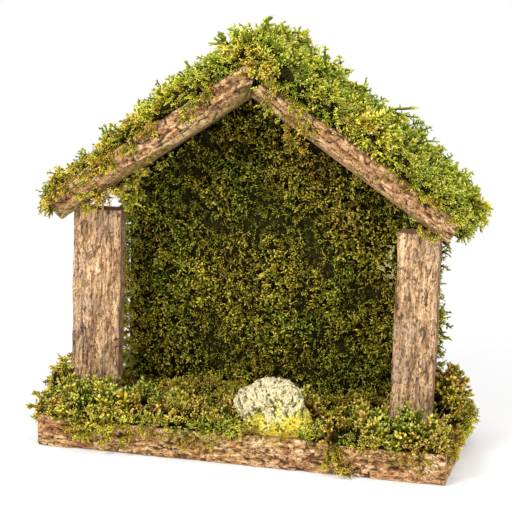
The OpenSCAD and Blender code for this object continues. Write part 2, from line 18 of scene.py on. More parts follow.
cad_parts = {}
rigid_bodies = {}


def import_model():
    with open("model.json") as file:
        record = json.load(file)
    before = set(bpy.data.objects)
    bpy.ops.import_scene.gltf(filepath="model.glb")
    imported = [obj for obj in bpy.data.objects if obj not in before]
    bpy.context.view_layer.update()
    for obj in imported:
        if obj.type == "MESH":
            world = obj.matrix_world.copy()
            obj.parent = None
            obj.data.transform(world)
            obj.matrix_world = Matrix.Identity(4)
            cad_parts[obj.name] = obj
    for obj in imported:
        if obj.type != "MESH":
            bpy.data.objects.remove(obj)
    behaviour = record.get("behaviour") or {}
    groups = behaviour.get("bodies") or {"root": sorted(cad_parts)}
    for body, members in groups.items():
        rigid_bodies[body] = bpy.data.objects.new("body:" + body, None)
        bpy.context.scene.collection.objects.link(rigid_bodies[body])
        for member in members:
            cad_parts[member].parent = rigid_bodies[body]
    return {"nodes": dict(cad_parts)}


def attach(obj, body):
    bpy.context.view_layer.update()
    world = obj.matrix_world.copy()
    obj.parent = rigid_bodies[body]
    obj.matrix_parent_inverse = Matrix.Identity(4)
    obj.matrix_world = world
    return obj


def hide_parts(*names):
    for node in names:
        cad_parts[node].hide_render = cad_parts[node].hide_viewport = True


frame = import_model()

log = logging.getLogger("stable")
MM = 0.001
ROOT = "root"
CM2_IN_M2 = 1e4
# Slopes of the two halves of the roof in degrees.
LEFT_PITCH, RIGHT_PITCH = 34.9, 33.513
# Vertices of a CAD solid that lie this close in mm are one.
MERGED_MM = 0.004
Array = np.ndarray
Triple = tuple[float, float, float]
UP: Triple = (0.0, 0.0, 1.0)
FRONT: Triple = (0.0, -1.0, 0.0)


class Slot(Enum):
    """Material slots of the record, one for each kind of finish."""

    BARK = "bark"
    MOSS = "moss"
    STONE = "stone"


class Habit(Enum):
    """How a sprig of moss grows."""

    FROND = "frond"
    CORAL = "coral"
    FORK = "fork"
    CURL = "curl"
    TUFT = "tuft"


class Stock(Enum):
    """Which sprigs a layer is planted with."""

    LONG = "long_sprig"
    SHORT = "short_sprig"
    STOUT = "stout_sprig"


class Draw(Enum):
    """Random numbers of a sprig. Each value is added to the seed, so that no two are alike."""

    SPIN = 11
    SIZE = 23
    KIND = 37


class EndCut(Enum):
    """How the far end of a slab of bark is finished."""

    SQUARE = "square"
    HACKED = "hacked"


# Numbers and noise

# Large odd factors and shifts that scatter the bits of a grid place and its seed.
MIX_X, MIX_Y, MIX_SEED = 374761393, 668265263, 1274126177
MIX_ROUNDS = ((15, 2246822519), (13, 3266489917))


def shade(code: str) -> tuple[float, float, float, float]:
    """Turns an sRGB hex colour into the linear colour that a shader works in.

    Args:
        code: the colour as "#rrggbb".

    Returns:
        Linear red, green, blue and an alpha of 1.
    """
    parts = [int(code[i : i + 2], 16) / 255 for i in (1, 3, 5)]
    linear = [c / 12.92 if c <= 0.04045 else ((c + 0.055) / 1.055) ** 2.4 for c in parts]
    return (linear[0], linear[1], linear[2], 1.0)


def ease(x: Array, low: float, high: float) -> Array:
    """Smooth step.

    Args:
        x: places.
        low: place where the step is 0.
        high: place where the step is 1.

    Returns:
        One value in 0 to 1 for each place.
    """
    t = np.clip((x - low) / (high - low), 0.0, 1.0)
    return t * t * (3 - 2 * t)


def lattice(ix: Array, iy: Array, seed: int) -> Array:
    """Seeded values in 0 to 1 for whole-number places of a grid.

    Args:
        ix: columns of the grid.
        iy: rows of the grid.
        seed: which of the grids.

    Returns:
        One value for each place.
    """
    mask = np.uint64(0xFFFFFFFF)
    h = ix.astype(np.int64) * MIX_X + iy.astype(np.int64) * MIX_Y + seed * MIX_SEED
    h = h.astype(np.uint64) & mask
    for shift, factor in MIX_ROUNDS:
        h = ((h ^ (h >> np.uint64(shift))) * np.uint64(factor)) & mask
    return (h ^ (h >> np.uint64(16))).astype(np.float64) / 2.0**32


def swell(x: Array, y: Array, seed: int, octaves: int = 3) -> Array:
    """Smooth noise in about -1 to 1, its finer octaves at half the size and height.

    Args:
        x: places along, in units of the largest lump.
        y: places across, in the same units.
        seed: which of the patterns.
        octaves: how many sizes of lump are added up.

    Returns:
        One height for each place.
    """
    total = np.zeros(np.broadcast(x, y).shape)
    reach = 0.0
    for k in range(octaves):
        fx, fy = x * 2**k, y * 2**k
        ix, iy = np.floor(fx), np.floor(fy)
        tx, ty = fx - ix, fy - iy
        tx, ty = tx * tx * (3 - 2 * tx), ty * ty * (3 - 2 * ty)
        corner = [lattice(ix + i, iy + j, seed + 17 * k) for j in (0, 1) for i in (0, 1)]
        low = corner[0] * (1 - tx) + corner[1] * tx
        high = corner[2] * (1 - tx) + corner[3] * tx
        total += (low * (1 - ty) + high * ty - 0.5) * 2 * 0.5**k
        reach += 0.5**k
    return total / reach


def lumps(p: Array, size: float, seed: int, octaves: int = 2) -> Array:
    """Smooth noise over places in space.

    Args:
        p: places, one row each.
        size: size of the largest lump, in the same unit.
        seed: which of the patterns.
        octaves: how many sizes of lump are added up.

    Returns:
        One value in about -1 to 1 for each place.
    """
    x = (p[..., 0] + 0.37 * p[..., 2]) / size
    y = (p[..., 1] - 0.83 * p[..., 2]) / size
    return swell(x, y, seed, octaves)


def creases(x: Array, y: Array, seed: int, width: float) -> Array:
    """Thin branching lines, as drying bark cracks along.

    Args:
        x: places along, in units of the pattern.
        y: places across, in the same units.
        seed: which of the patterns.
        width: half width of a line, as a share of the noise's height.

    Returns:
        1 in a crack and 0 away from it.
    """
    return 1 - ease(np.abs(swell(x, y, seed, 2)), 0.0, width)


def roof_ways(pitch: float, side: int) -> tuple[Triple, Triple]:
    """Ways of one half of the roof.

    Args:
        pitch: its slope in degrees.
        side: -1 for the left half and 1 for the right one.

    Returns:
        The way up to the ridge and the way out of the roof.
    """
    c, s = math.cos(math.radians(pitch)), math.sin(math.radians(pitch))
    return (-side * c, 0.0, s), (side * s, 0.0, c)


# Meshes


def linked(name: str, data: Any) -> bpy.types.Object:
    """Makes an object and links it to the scene.

    Args:
        name: its name.
        data: its mesh, camera or lamp.

    Returns:
        The new object.
    """
    item = bpy.data.objects.new(name, data)
    bpy.context.scene.collection.objects.link(item)
    return item


def places_of(mesh: bpy.types.Mesh) -> Array:
    """Reads the places of a mesh's vertices.

    Args:
        mesh: the mesh.

    Returns:
        One row in metres for each vertex.
    """
    places = np.zeros(len(mesh.vertices) * 3, np.float32)
    mesh.vertices.foreach_get("co", places)
    return places.reshape(-1, 3)


def make_object(
    name: str, points: Array, faces: Sequence[Array], marks: Mapping[str, Array] | None = None
) -> bpy.types.Object:
    """Makes a mesh object at the origin, with its place in its mesh.

    Args:
        name: name of the piece.
        points: places of the vertices in metres, one row each.
        faces: arrays of vertex numbers, one row a face, each array of one face size.
        marks: values to store on the vertices, by name; a row of three makes a vector.

    Returns:
        The new object, linked to the scene.
    """
    mesh = bpy.data.meshes.new(name)
    mesh.vertices.add(len(points))
    mesh.vertices.foreach_set("co", np.asarray(points, np.float32).reshape(-1))
    if faces:
        loops = np.concatenate([f.reshape(-1) for f in faces]).astype(np.int32)
        sizes = np.concatenate([np.full(len(f), f.shape[1]) for f in faces]).astype(np.int32)
        starts = np.concatenate([[0], np.cumsum(sizes)[:-1]]).astype(np.int32)
        mesh.loops.add(len(loops))
        mesh.loops.foreach_set("vertex_index", loops)
        mesh.polygons.add(len(sizes))
        mesh.polygons.foreach_set("loop_start", starts)
        mesh.polygons.foreach_set("loop_total", sizes)
        mesh.update(calc_edges=True)
        mesh.shade_smooth()
    for mark, values in (marks or {}).items():
        wide = values.ndim == 2
        layer = mesh.attributes.new(mark, "FLOAT_VECTOR" if wide else "FLOAT", "POINT")
        layer.data.foreach_set("vector" if wide else "value", values.astype(np.float32).reshape(-1))
    return linked(name, mesh)


def turned_out(points: Array, quads: Array, tris: Array) -> tuple[Array, Array]:
    """Gives the faces of a closed mesh the winding that points outwards.

    Args:
        points: places of the vertices.
        quads: four-sided faces.
        tris: three-sided faces.

    Returns:
        The quads and the triangles, both turned round if they pointed inwards.
    """
    both = np.concatenate([quads[:, [0, 1, 2]], quads[:, [0, 2, 3]], tris])
    a, b, c = (points[both[:, k]] for k in range(3))
    if np.einsum("ij,ij->i", a, np.cross(b, c)).sum() < 0:
        return quads[:, ::-1], tris[:, ::-1]
    return quads, tris


def tube(rows: int, ring: int) -> tuple[Array, Array]:
    """Numbers the vertices of a tube that is closed round and open at its ends.

    Args:
        rows: how many rings it has.
        ring: how many vertices each ring has.

    Returns:
        The vertex numbers, one row a ring, and the four-sided faces between the rings.
    """
    number = np.arange(rows * ring).reshape(rows, ring)
    after = np.roll(number, -1, axis=1)
    return number, np.stack([number[:-1], after[:-1], after[1:], number[1:]], -1).reshape(-1, 4)


def held_in(piece: bpy.types.Object, low: Triple, high: Triple, soft: float) -> None:
    """Draws a piece's vertices in towards a box, the further out the more.

    Args:
        piece: the piece.
        low: lowest corner of the box in mm.
        high: highest corner of the box in mm.
        soft: depth in mm, inside the box, over which places are drawn in.
    """
    mesh = piece.data
    places = places_of(mesh) / MM
    for axis in range(3):
        for sign, limit in ((1, high[axis]), (-1, -low[axis])):
            start = limit - soft
            past = np.maximum(sign * places[:, axis] - start, 0.0)
            places[:, axis] -= sign * (past - soft * (1 - np.exp(-past / soft)))
    mesh.vertices.foreach_set("co", (places * MM).reshape(-1).astype(np.float32))
    mesh.update()


def finish_piece(
    piece: bpy.types.Object, slot: Slot, finish: bpy.types.Material, *nodes: str
) -> bpy.types.Object:
    """Gives a new piece its material and its body, and hides the CAD nodes that it stands for.

    Args:
        piece: the new piece.
        slot: not used.
        finish: its material.
        nodes: CAD nodes that it stands for.

    Returns:
        The same piece.
    """
    piece.data.materials.clear()
    piece.data.materials.append(finish)
    if nodes:
        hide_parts(*nodes)
    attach(piece, ROOT)
    log.info("%s: %d faces", piece.name, len(piece.data.polygons))
    return piece


def dress_node(name: str, finish: bpy.types.Material) -> None:
    """Gives a CAD node a procedural material in all its slots.

    Args:
        name: name of the node.
        finish: the material.
    """
    node = frame["nodes"][name]
    if not node.material_slots:
        node.data.materials.append(finish)
    for place in node.material_slots:
        place.material = finish
    log.info("%s: dressed as %s", name, finish.name)


# Materials


def feed(node: Any, inputs: Mapping[Any, Any]) -> None:
    """Sets or links a node's inputs.

    Args:
        node: the node.
        inputs: a value, an output socket or a node by the input's name or number. A node stands
            for its first output.
    """
    for key, value in inputs.items():
        source = value.outputs[0] if isinstance(value, bpy.types.Node) else value
        if isinstance(source, bpy.types.NodeSocket):
            node.id_data.links.new(source, node.inputs[key])
        else:
            node.inputs[key].default_value = source


def add_node(
    tree: bpy.types.NodeTree, kind: str, inputs: Mapping[Any, Any], **settings: Any
) -> Any:
    """Adds a node with its settings and links.

    Args:
        tree: the node tree.
        kind: the node's type name.
        inputs: what its inputs are set or linked to, as in feed.
        settings: properties of the node.

    Returns:
        The new node.
    """
    node = tree.nodes.new(kind)
    for key, value in settings.items():
        setattr(node, key, value)
    feed(node, inputs)
    return node


def set_stops(ramp: bpy.types.ColorRamp, stops: Sequence[tuple[float, str]]) -> None:
    """Sets the stops of a colour ramp.

    Args:
        ramp: the ramp.
        stops: place in 0 to 1 and hex colour of each stop.
    """
    while len(ramp.elements) < len(stops):
        ramp.elements.new(0.5)
    for element, (place, code) in zip(ramp.elements, stops):
        element.position = place
        element.color = shade(code)


def new_material(name: str) -> tuple[bpy.types.Material, Any, Callable[..., Any]]:
    """Starts a node material.

    Args:
        name: name of the material.

    Returns:
        The material, its Principled shader, and add_node for its tree.
    """
    material = bpy.data.materials.new(name)
    material.use_nodes = True
    tree = material.node_tree
    return material, tree.nodes["Principled BSDF"], partial(add_node, tree)


@dataclass(frozen=True)
class BarkFinish:
    """Split bark, weathered and dull: pale scaly ridges, brown furrows and fine dark pits, the
    furrows, cracks and pits darkened as painted shade and the high ridges paler as a painted
    highlight.

    The pattern follows the slab's own "grain" mark, a place in metres along, across and out. The
    streaks are drawn a little coarser than real bark fibre, so that they show.
    """

    name: str
    crest: str
    pale: str
    body: str
    dusk: str
    # Colour of the painted shade in cracks, furrows and pits.
    crack_shade: str
    blush: str
    cut: str
    streak_mm: float
    pit_mm: float
    stretch: float
    blotch_mm: float = 21.0
    algae: str = "#6d6a1e"

    def material(self) -> bpy.types.Material:
        """Builds the material.

        Returns:
            The new material.
        """
        material, shader, add = new_material(self.name)
        grain, furrow, tone, sawn, algae = (
            add("ShaderNodeAttribute", {}, attribute_name=mark)
            for mark in ("grain", "furrow", "tone", "sawn", "algae")
        )
        place = grain.outputs["Vector"]
        fine = 1 / (self.streak_mm * MM)
        wide = 0.4 * fine
        drawn, fibre = (
            add("ShaderNodeMapping", {"Vector": place, "Scale": scale})
            for scale in ((fine / self.stretch, fine, fine), (wide / self.stretch**0.6, wide, wide))
        )
        noises = (
            (drawn, 1.0, 5.0, 0.6),
            (place, 1 / (2.4 * self.pit_mm * MM), 4.0, 0.7),
            (place, 1 / (self.pit_mm * MM), 2.0, 0.6),
            (place, 1 / (self.blotch_mm * MM), 3.0, 0.5),
            (fibre, 1.0, 3.0, 0.55),
        )
        streak, scales, pits, blotch, split = (
            add("ShaderNodeTexNoise", {"Vector": v, "Scale": s, "Detail": d, "Roughness": r})
            for v, s, d, r in noises
        )
        off_middle = add("ShaderNodeMath", {0: split, 1: 0.5}, operation="SUBTRACT")
        vein = add("ShaderNodeMath", {0: off_middle}, operation="ABSOLUTE")
        # The tone mark carries a painted highlight on high ridges and painted shade in slits.
        tinted = add("ShaderNodeMath", {0: tone.outputs["Fac"], 1: 0.24}, operation="MULTIPLY")
        streaked = add("ShaderNodeMath", {0: streak, 1: 0.44, 2: tinted}, operation="MULTIPLY_ADD")
        mottled = add("ShaderNodeMath", {0: scales, 1: 0.32, 2: streaked}, operation="MULTIPLY_ADD")
        weathered = add("ShaderNodeValToRGB", {"Fac": mottled})
        stops = [(0.38, self.dusk), (0.455, self.body), (0.52, self.pale), (0.6, self.crest)]
        set_stops(weathered.color_ramp, stops)
        layers = (
            (blotch, 0.46, 0.66, 0.5, self.blush),
            # Painted shade: drawn cracks, sunken pits and the furrow mark darken towards the crack
            # colour.
            (vein, 0.03, 0.005, 0.8, self.crack_shade),
            (pits, 0.42, 0.34, 0.75, self.crack_shade),
            (furrow.outputs["Fac"], 0.0, 1.0, 0.92, self.crack_shade),
            (sawn.outputs["Fac"], 0.0, 1.0, 0.8, self.cut),
            (algae.outputs["Fac"], 0.0, 1.0, 0.75, self.algae),
        )
        colour: Any = weathered
        for value, start, end, most, tint in layers:
            share = add("ShaderNodeMapRange", {0: value, 1: start, 2: end, 3: 0.0, 4: most})
            mix = add("ShaderNodeMix", {0: share, 6: colour, 7: shade(tint)}, data_type="RGBA")
            colour = mix.outputs[2]
        relief = add("ShaderNodeMath", {0: mottled, 1: pits}, operation="ADD")
        bump = add("ShaderNodeBump", {"Strength": 0.8, "Distance": 0.6 * MM, "Height": relief})
        feed(shader, {"Base Color": colour, "Normal": bump})
        feed(shader, {"Roughness": 0.92, "Specular IOR Level": 0.25})
        return material


@dataclass(frozen=True)
class BoardFinish:
    """Softwood, rough-sawn and dry: brown, with darker growth lines and faint saw marks across."""

    name: str
    pale: str
    dark: str
    line_mm: float
    stretch: float = 26.0
    saw_mm: float = 9.0

    def material(self) -> bpy.types.Material:
        """Builds the material.

        Returns:
            The new material.
        """
        material, shader, add = new_material(self.name)
        place = add("ShaderNodeTexCoord", {}).outputs["Object"]
        fine = 1 / (self.line_mm * MM)
        along = fine / self.stretch
        drawn = add("ShaderNodeMapping", {"Vector": place, "Scale": (along, fine, fine)})
        noise = {"Vector": drawn, "Scale": 1.0, "Detail": 4.0, "Distortion": 0.4}
        lines = add("ShaderNodeTexNoise", noise)
        saw = add(
            "ShaderNodeTexWave",
            {"Vector": place, "Scale": 1 / (self.saw_mm * MM), "Distortion": 1.5, "Detail": 2.0},
            bands_direction="X",
        )
        growth = add("ShaderNodeValToRGB", {"Fac": lines})
        set_stops(growth.color_ramp, [(0.32, self.dark), (0.5, self.pale), (0.72, self.pale)])
        marks = add("ShaderNodeMath", {0: saw.outputs["Fac"], 1: 0.16}, operation="MULTIPLY")
        sawn = add("ShaderNodeMix", {0: marks, 6: growth, 7: shade(self.dark)}, data_type="RGBA")
        relief = add("ShaderNodeMath", {0: lines, 1: marks}, operation="ADD")
        bump = add("ShaderNodeBump", {"Strength": 0.5, "Distance": 0.3 * MM, "Height": relief})
        feed(shader, {"Base Color": sawn.outputs[2], "Normal": bump, "Roughness": 0.8})
        return material


@dataclass(frozen=True)
class WireFinish:
    """Steel wire, drawn, cut and headed: grey metal with fine lines along the shank."""

    name: str = "drawn steel wire"
    pale: str = "#b4b2ad"
    dark: str = "#8d8b86"
    line_mm: float = 0.3
    run_mm: float = 50 / 3

    def material(self) -> bpy.types.Material:
        """Builds the material.

        Returns:
            The new material.
        """
        material, shader, add = new_material(self.name)
        place = add("ShaderNodeTexCoord", {}).outputs["Object"]
        across, along = 1 / (self.line_mm * MM), 1 / (self.run_mm * MM)
        drawn = add("ShaderNodeMapping", {"Vector": place, "Scale": (across, across, along)})
        lines = add("ShaderNodeTexNoise", {"Vector": drawn, "Scale": 1.0})
        colour = add("ShaderNodeValToRGB", {"Fac": lines})
        set_stops(colour.color_ramp, [(0.3, self.dark), (0.6, self.pale)])
        rough = add("ShaderNodeMapRange", {0: lines, 3: 0.28, 4: 0.45})
        feed(shader, {"Base Color": colour, "Roughness": rough, "Metallic": 1.0})
        return material


@dataclass(frozen=True)
class MossFinish:
    """Feather moss, dried and glued down: pale lime tips over olive stems, some sprigs gone straw.

    Reads the marks "tip" (0 at a sprig's foot, 1 at its tips), "kind" (one value a sprig) and
    "dry" (how straw-coloured the bed is there; below 0 it is greener). Each hue is a row of four
    colours from foot to tip. Random patches about as wide as a tuft are darkened or brightened as
    painted shade of the tufts.
    """

    name: str
    lime: tuple[str, str, str, str] = ("#262402", "#757206", "#bab41e", "#f2ea84")
    green: tuple[str, str, str, str] = ("#1e2202", "#5a6604", "#929e16", "#dae076")
    straw: tuple[str, str, str, str] = ("#322004", "#846808", "#c0a028", "#ecd47c")
    green_from: float = 0.24
    straw_from: float = 0.56
    patch_mm: float = 26.0
    tuft_shade_mm: float = 5.5

    def material(self) -> bpy.types.Material:
        """Builds the material.

        Returns:
            The new material.
        """
        material, shader, add = new_material(self.name)
        tip, kind, dry = (
            add("ShaderNodeAttribute", {}, attribute_name=mark).outputs["Fac"]
            for mark in ("tip", "kind", "dry")
        )
        place = add("ShaderNodeTexCoord", {}).outputs["Object"]
        patch, tuft_shade = (
            add("ShaderNodeTexNoise", {"Vector": place, "Scale": 1 / (size * MM), "Detail": detail})
            for size, detail in ((self.patch_mm, 2.0), (self.tuft_shade_mm, 1.0))
        )
        lime, green, straw = (add("ShaderNodeValToRGB", {"Fac": tip}) for _ in range(3))
        for ramp, colours in ((lime, self.lime), (green, self.green), (straw, self.straw)):
            set_stops(ramp.color_ramp, list(zip((0.0, 0.36, 0.7, 1.0), colours)))
        own = add("ShaderNodeMath", {0: kind, 1: 0.5, 2: dry}, operation="MULTIPLY_ADD")
        hue = add("ShaderNodeMath", {0: patch, 1: 1.3, 2: own}, operation="MULTIPLY_ADD")
        # The patch noise is centred on a half, so 0.65 of the sum is no hue at all.
        turns = (
            (self.green_from + 0.65, self.green_from + 0.5, green),
            (self.straw_from + 0.65, self.straw_from + 0.8, straw),
        )
        colour: Any = lime
        for start, end, tint in turns:
            share = add("ShaderNodeMapRange", {0: hue, 1: start, 2: end, 3: 0.0, 4: 1.0})
            mix = add("ShaderNodeMix", {0: share, 6: colour, 7: tint}, data_type="RGBA")
            colour = mix.outputs[2]
        # Painted shade: random patches a few millimetres across darken or brighten the colour.
        shade_scale = add("ShaderNodeMapRange", {0: tuft_shade, 1: 0.36, 2: 0.62, 3: 0.5, 4: 1.34})
        tuft_shaded = add("ShaderNodeVectorMath", {0: colour, "Scale": shade_scale}, operation="SCALE")
        feed(shader, {"Base Color": tuft_shaded, "Roughness": 0.75, "Specular IOR Level": 0.12})
        return material


@dataclass(frozen=True)
class BedFinish:
    """Foot of the moss, matted: brown and dark olive threads glued to the board, dark as painted
    shade.
    """

    name: str
    low: str
    high: str
    thread_mm: float = 2.2

    def material(self) -> bpy.types.Material:
        """Builds the material.

        Returns:
            The new material.
        """
        material, shader, add = new_material(self.name)
        place = add("ShaderNodeTexCoord", {}).outputs["Object"]
        scale = 1 / (self.thread_mm * MM)
        noise = {"Vector": place, "Scale": scale, "Detail": 4.0, "Distortion": 1.2}
        threads = add("ShaderNodeTexNoise", noise)
        colour = add("ShaderNodeValToRGB", {"Fac": threads})
        set_stops(colour.color_ramp, [(0.35, self.low), (0.65, self.high)])
        bump = add("ShaderNodeBump", {"Strength": 1.0, "Distance": 1.0 * MM, "Height": threads})
        feed(shader, {"Base Color": colour, "Normal": bump})
        feed(shader, {"Roughness": 0.95, "Specular IOR Level": 0.1})
        return material


@dataclass(frozen=True)
class GritFinish:
    """Grit, dyed and glued on: cream grains above, bright yellow ones below, grey-green in hollows.

    Reads the marks "kind" (one value a grain) and "dry" (how deep in a hollow it lies). by_height
    is the dye from the stone's foot to its crown, by_grain what single grains darken it with.
    """

    name: str
    middle: Triple
    reach: float
    patch_mm: float = 11.0
    hollow: str = "#5c6030"
    by_height: tuple[tuple[float, str], ...] = (
        (0.0, "#dcc23c"), (0.3, "#eadb54"), (0.44, "#eee48e"), (0.58, "#ece0b4"), (1.0, "#e6dab6"),
    )
    by_grain: tuple[tuple[float, str], ...] = (
        (0.0, "#4a4526"), (0.08, "#98906a"), (0.2, "#dad4c0"), (0.6, "#ffffff"),
    )

    def material(self) -> bpy.types.Material:
        """Builds the material.

        Returns:
            The new material.
        """
        material, shader, add = new_material(self.name)
        place = add("ShaderNodeTexCoord", {}).outputs["Object"]
        kind, deep = (
            add("ShaderNodeAttribute", {}, attribute_name=mark).outputs["Fac"]
            for mark in ("kind", "dry")
        )
        back = tuple(-c / self.reach for c in self.middle)
        scale = (1 / (self.reach * MM),) * 3
        centred = add("ShaderNodeMapping", {"Vector": place, "Location": back, "Scale": scale})
        apart = add("ShaderNodeSeparateXYZ", {0: centred}).outputs
        noise = {"Vector": place, "Scale": 1 / (self.patch_mm * MM), "Detail": 3.0}
        patch = add("ShaderNodeTexNoise", noise)
        # Some grains in a hollow stay pale, which breaks its edge up.
        rise, lodged = (
            add("ShaderNodeMath", {0: a, 1: factor, 2: b}, operation="MULTIPLY_ADD")
            for a, factor, b in ((apart["X"], -0.22, apart["Z"]), (kind, 0.8, deep))
        )
        ragged = add("ShaderNodeMath", {0: patch, 1: 1.5, 2: rise}, operation="MULTIPLY_ADD")
        high = add("ShaderNodeMapRange", {0: ragged, 1: 0.0, 2: 1.3, 3: 0.0, 4: 1.0})
        sunk = add("ShaderNodeMapRange", {0: lodged, 1: 0.75, 2: 1.15, 3: 0.0, 4: 0.95})
        dye = add("ShaderNodeValToRGB", {"Fac": high})
        set_stops(dye.color_ramp, self.by_height)
        grains = add("ShaderNodeValToRGB", {"Fac": kind})
        set_stops(grains.color_ramp, self.by_grain)
        mossy = add("ShaderNodeMix", {0: sunk, 6: dye, 7: shade(self.hollow)}, data_type="RGBA")
        tinted = add(
            "ShaderNodeMix",
            {0: 0.9, 6: mossy.outputs[2], 7: grains},
            data_type="RGBA",
            blend_type="MULTIPLY",
        )
        feed(shader, {"Base Color": tinted.outputs[2]})
        feed(shader, {"Roughness": 0.85, "Specular IOR Level": 0.3})
        return material


# Bark slabs


@dataclass(frozen=True)
class Place:
    """Frame of a slab: its low rear corner, and the ways along the grain, across it and out."""

    origin: Triple
    along: Triple
    across: Triple
    out: Triple

    def points(self, u: Array, v: Array, w: Array) -> Array:
        """Turns places in the slab's frame into places in metres.

        Args:
            u: places along the grain in mm.
            v: places across it in mm.
            w: places out from its back in mm.

        Returns:
            One row for each place.
        """
        base, along, across, out = (
            np.array(part) for part in (self.origin, self.along, self.across, self.out)
        )
        return (base + u[..., None] * along + v[..., None] * across + w[..., None] * out) * MM


@dataclass(frozen=True)
class BarkRelief:
    """Relief of one kind of bark.

    The ridges between two furrows are long and wide; depth is the furrows' depth. Scaly bark has
    flat flakes that end in steps, cracked bark has short cracks across its ridges, and the furrows
    of straight-grained bark wander little. The furrows, cracks, pits and flake steps are darkened
    as painted shade, the bolder the darker, and the high ridges are paler as a painted highlight.
    """

    long: float
    wide: float
    depth: float
    scaly: float
    cracked: float
    skew: float = 0.0
    wander: float = 0.9
    bold: float = 1.0
    pitted: float = 1.0
    pit_long: float = 2.4
    pit_wide: float = 1.3

    def heights(self, u: Array, v: Array, seed: int) -> tuple[Array, Array, Array]:
        """Bark over the face.

        Args:
            u: places along the grain in mm.
            v: places across it in mm.
            seed: which of the patterns.

        Returns:
            Heights in mm, painted shade of cracks in 0 to 1, and the flake's tone with painted
            highlight.
        """
        drift = self.wander * swell(u / (1.7 * self.long), v / (3.2 * self.wide), seed + 3, 2)
        x = u / self.long + 0.3 * drift
        y = v / self.wide + drift + self.skew * u / self.long
        ridge = swell(x, 0.8 * y, seed + 9, 3)
        fade = ease(swell(1.6 * x, 0.7 * y, seed + 4, 2), -0.4, 0.25)
        furrow = creases(x, 0.5 * y, seed + 5, 0.15) * fade
        thin = ease(swell(2.9 * x, 1.2 * y, seed + 7, 2), -0.15, 0.35)
        slit = creases(2.4 * x, 1.15 * y, seed + 6, 0.17) * thin
        here = ease(swell(2.2 * x, 1.1 * y, seed + 14, 2), 0.0, 0.4)
        across = creases(5.5 * x, 0.62 * y, seed + 13, 0.12) * here
        level = 2.2 * swell(1.3 * x + 0.2 * ridge, 0.75 * y, seed + 11, 3)
        flake = np.floor(level) + ease(level - np.floor(level), 0.0, 0.3)
        step = 1 - ease(level - np.floor(level), 0.0, 0.22)
        start = 0.5 - 0.12 * self.pitted
        pit = swell(u / self.pit_long, v / self.pit_wide, seed + 8, 2)
        pit = ease(pit, start, start + 0.2)
        height = self.depth * (
            0.5 * ridge
            + 0.42 * self.scaly * flake
            - 0.95 * furrow
            - 0.45 * slit * (1 - furrow)
            - 0.5 * self.cracked * across
            - 0.25 * pit
        )
        # Painted shade: furrows, slits, cracks across, pits and the steps at flake edges are
        # darkened.
        dark = 0.95 * self.bold * furrow**1.2 + 0.72 * slit**1.2 + self.cracked * across
        dark = dark + 0.35 * self.pitted * pit
        dark = dark + 0.5 * self.scaly * step * (0.4 + 0.6 * fade)
        # Painted highlight and shade: the tone is paler on high ridges and flakes and darker in
        # slits.
        tone = np.clip(0.5 + 0.5 * ridge + 0.16 * self.scaly * flake - 0.3 * slit, 0, 1)
        return height, np.clip(dark, 0, 1), tone


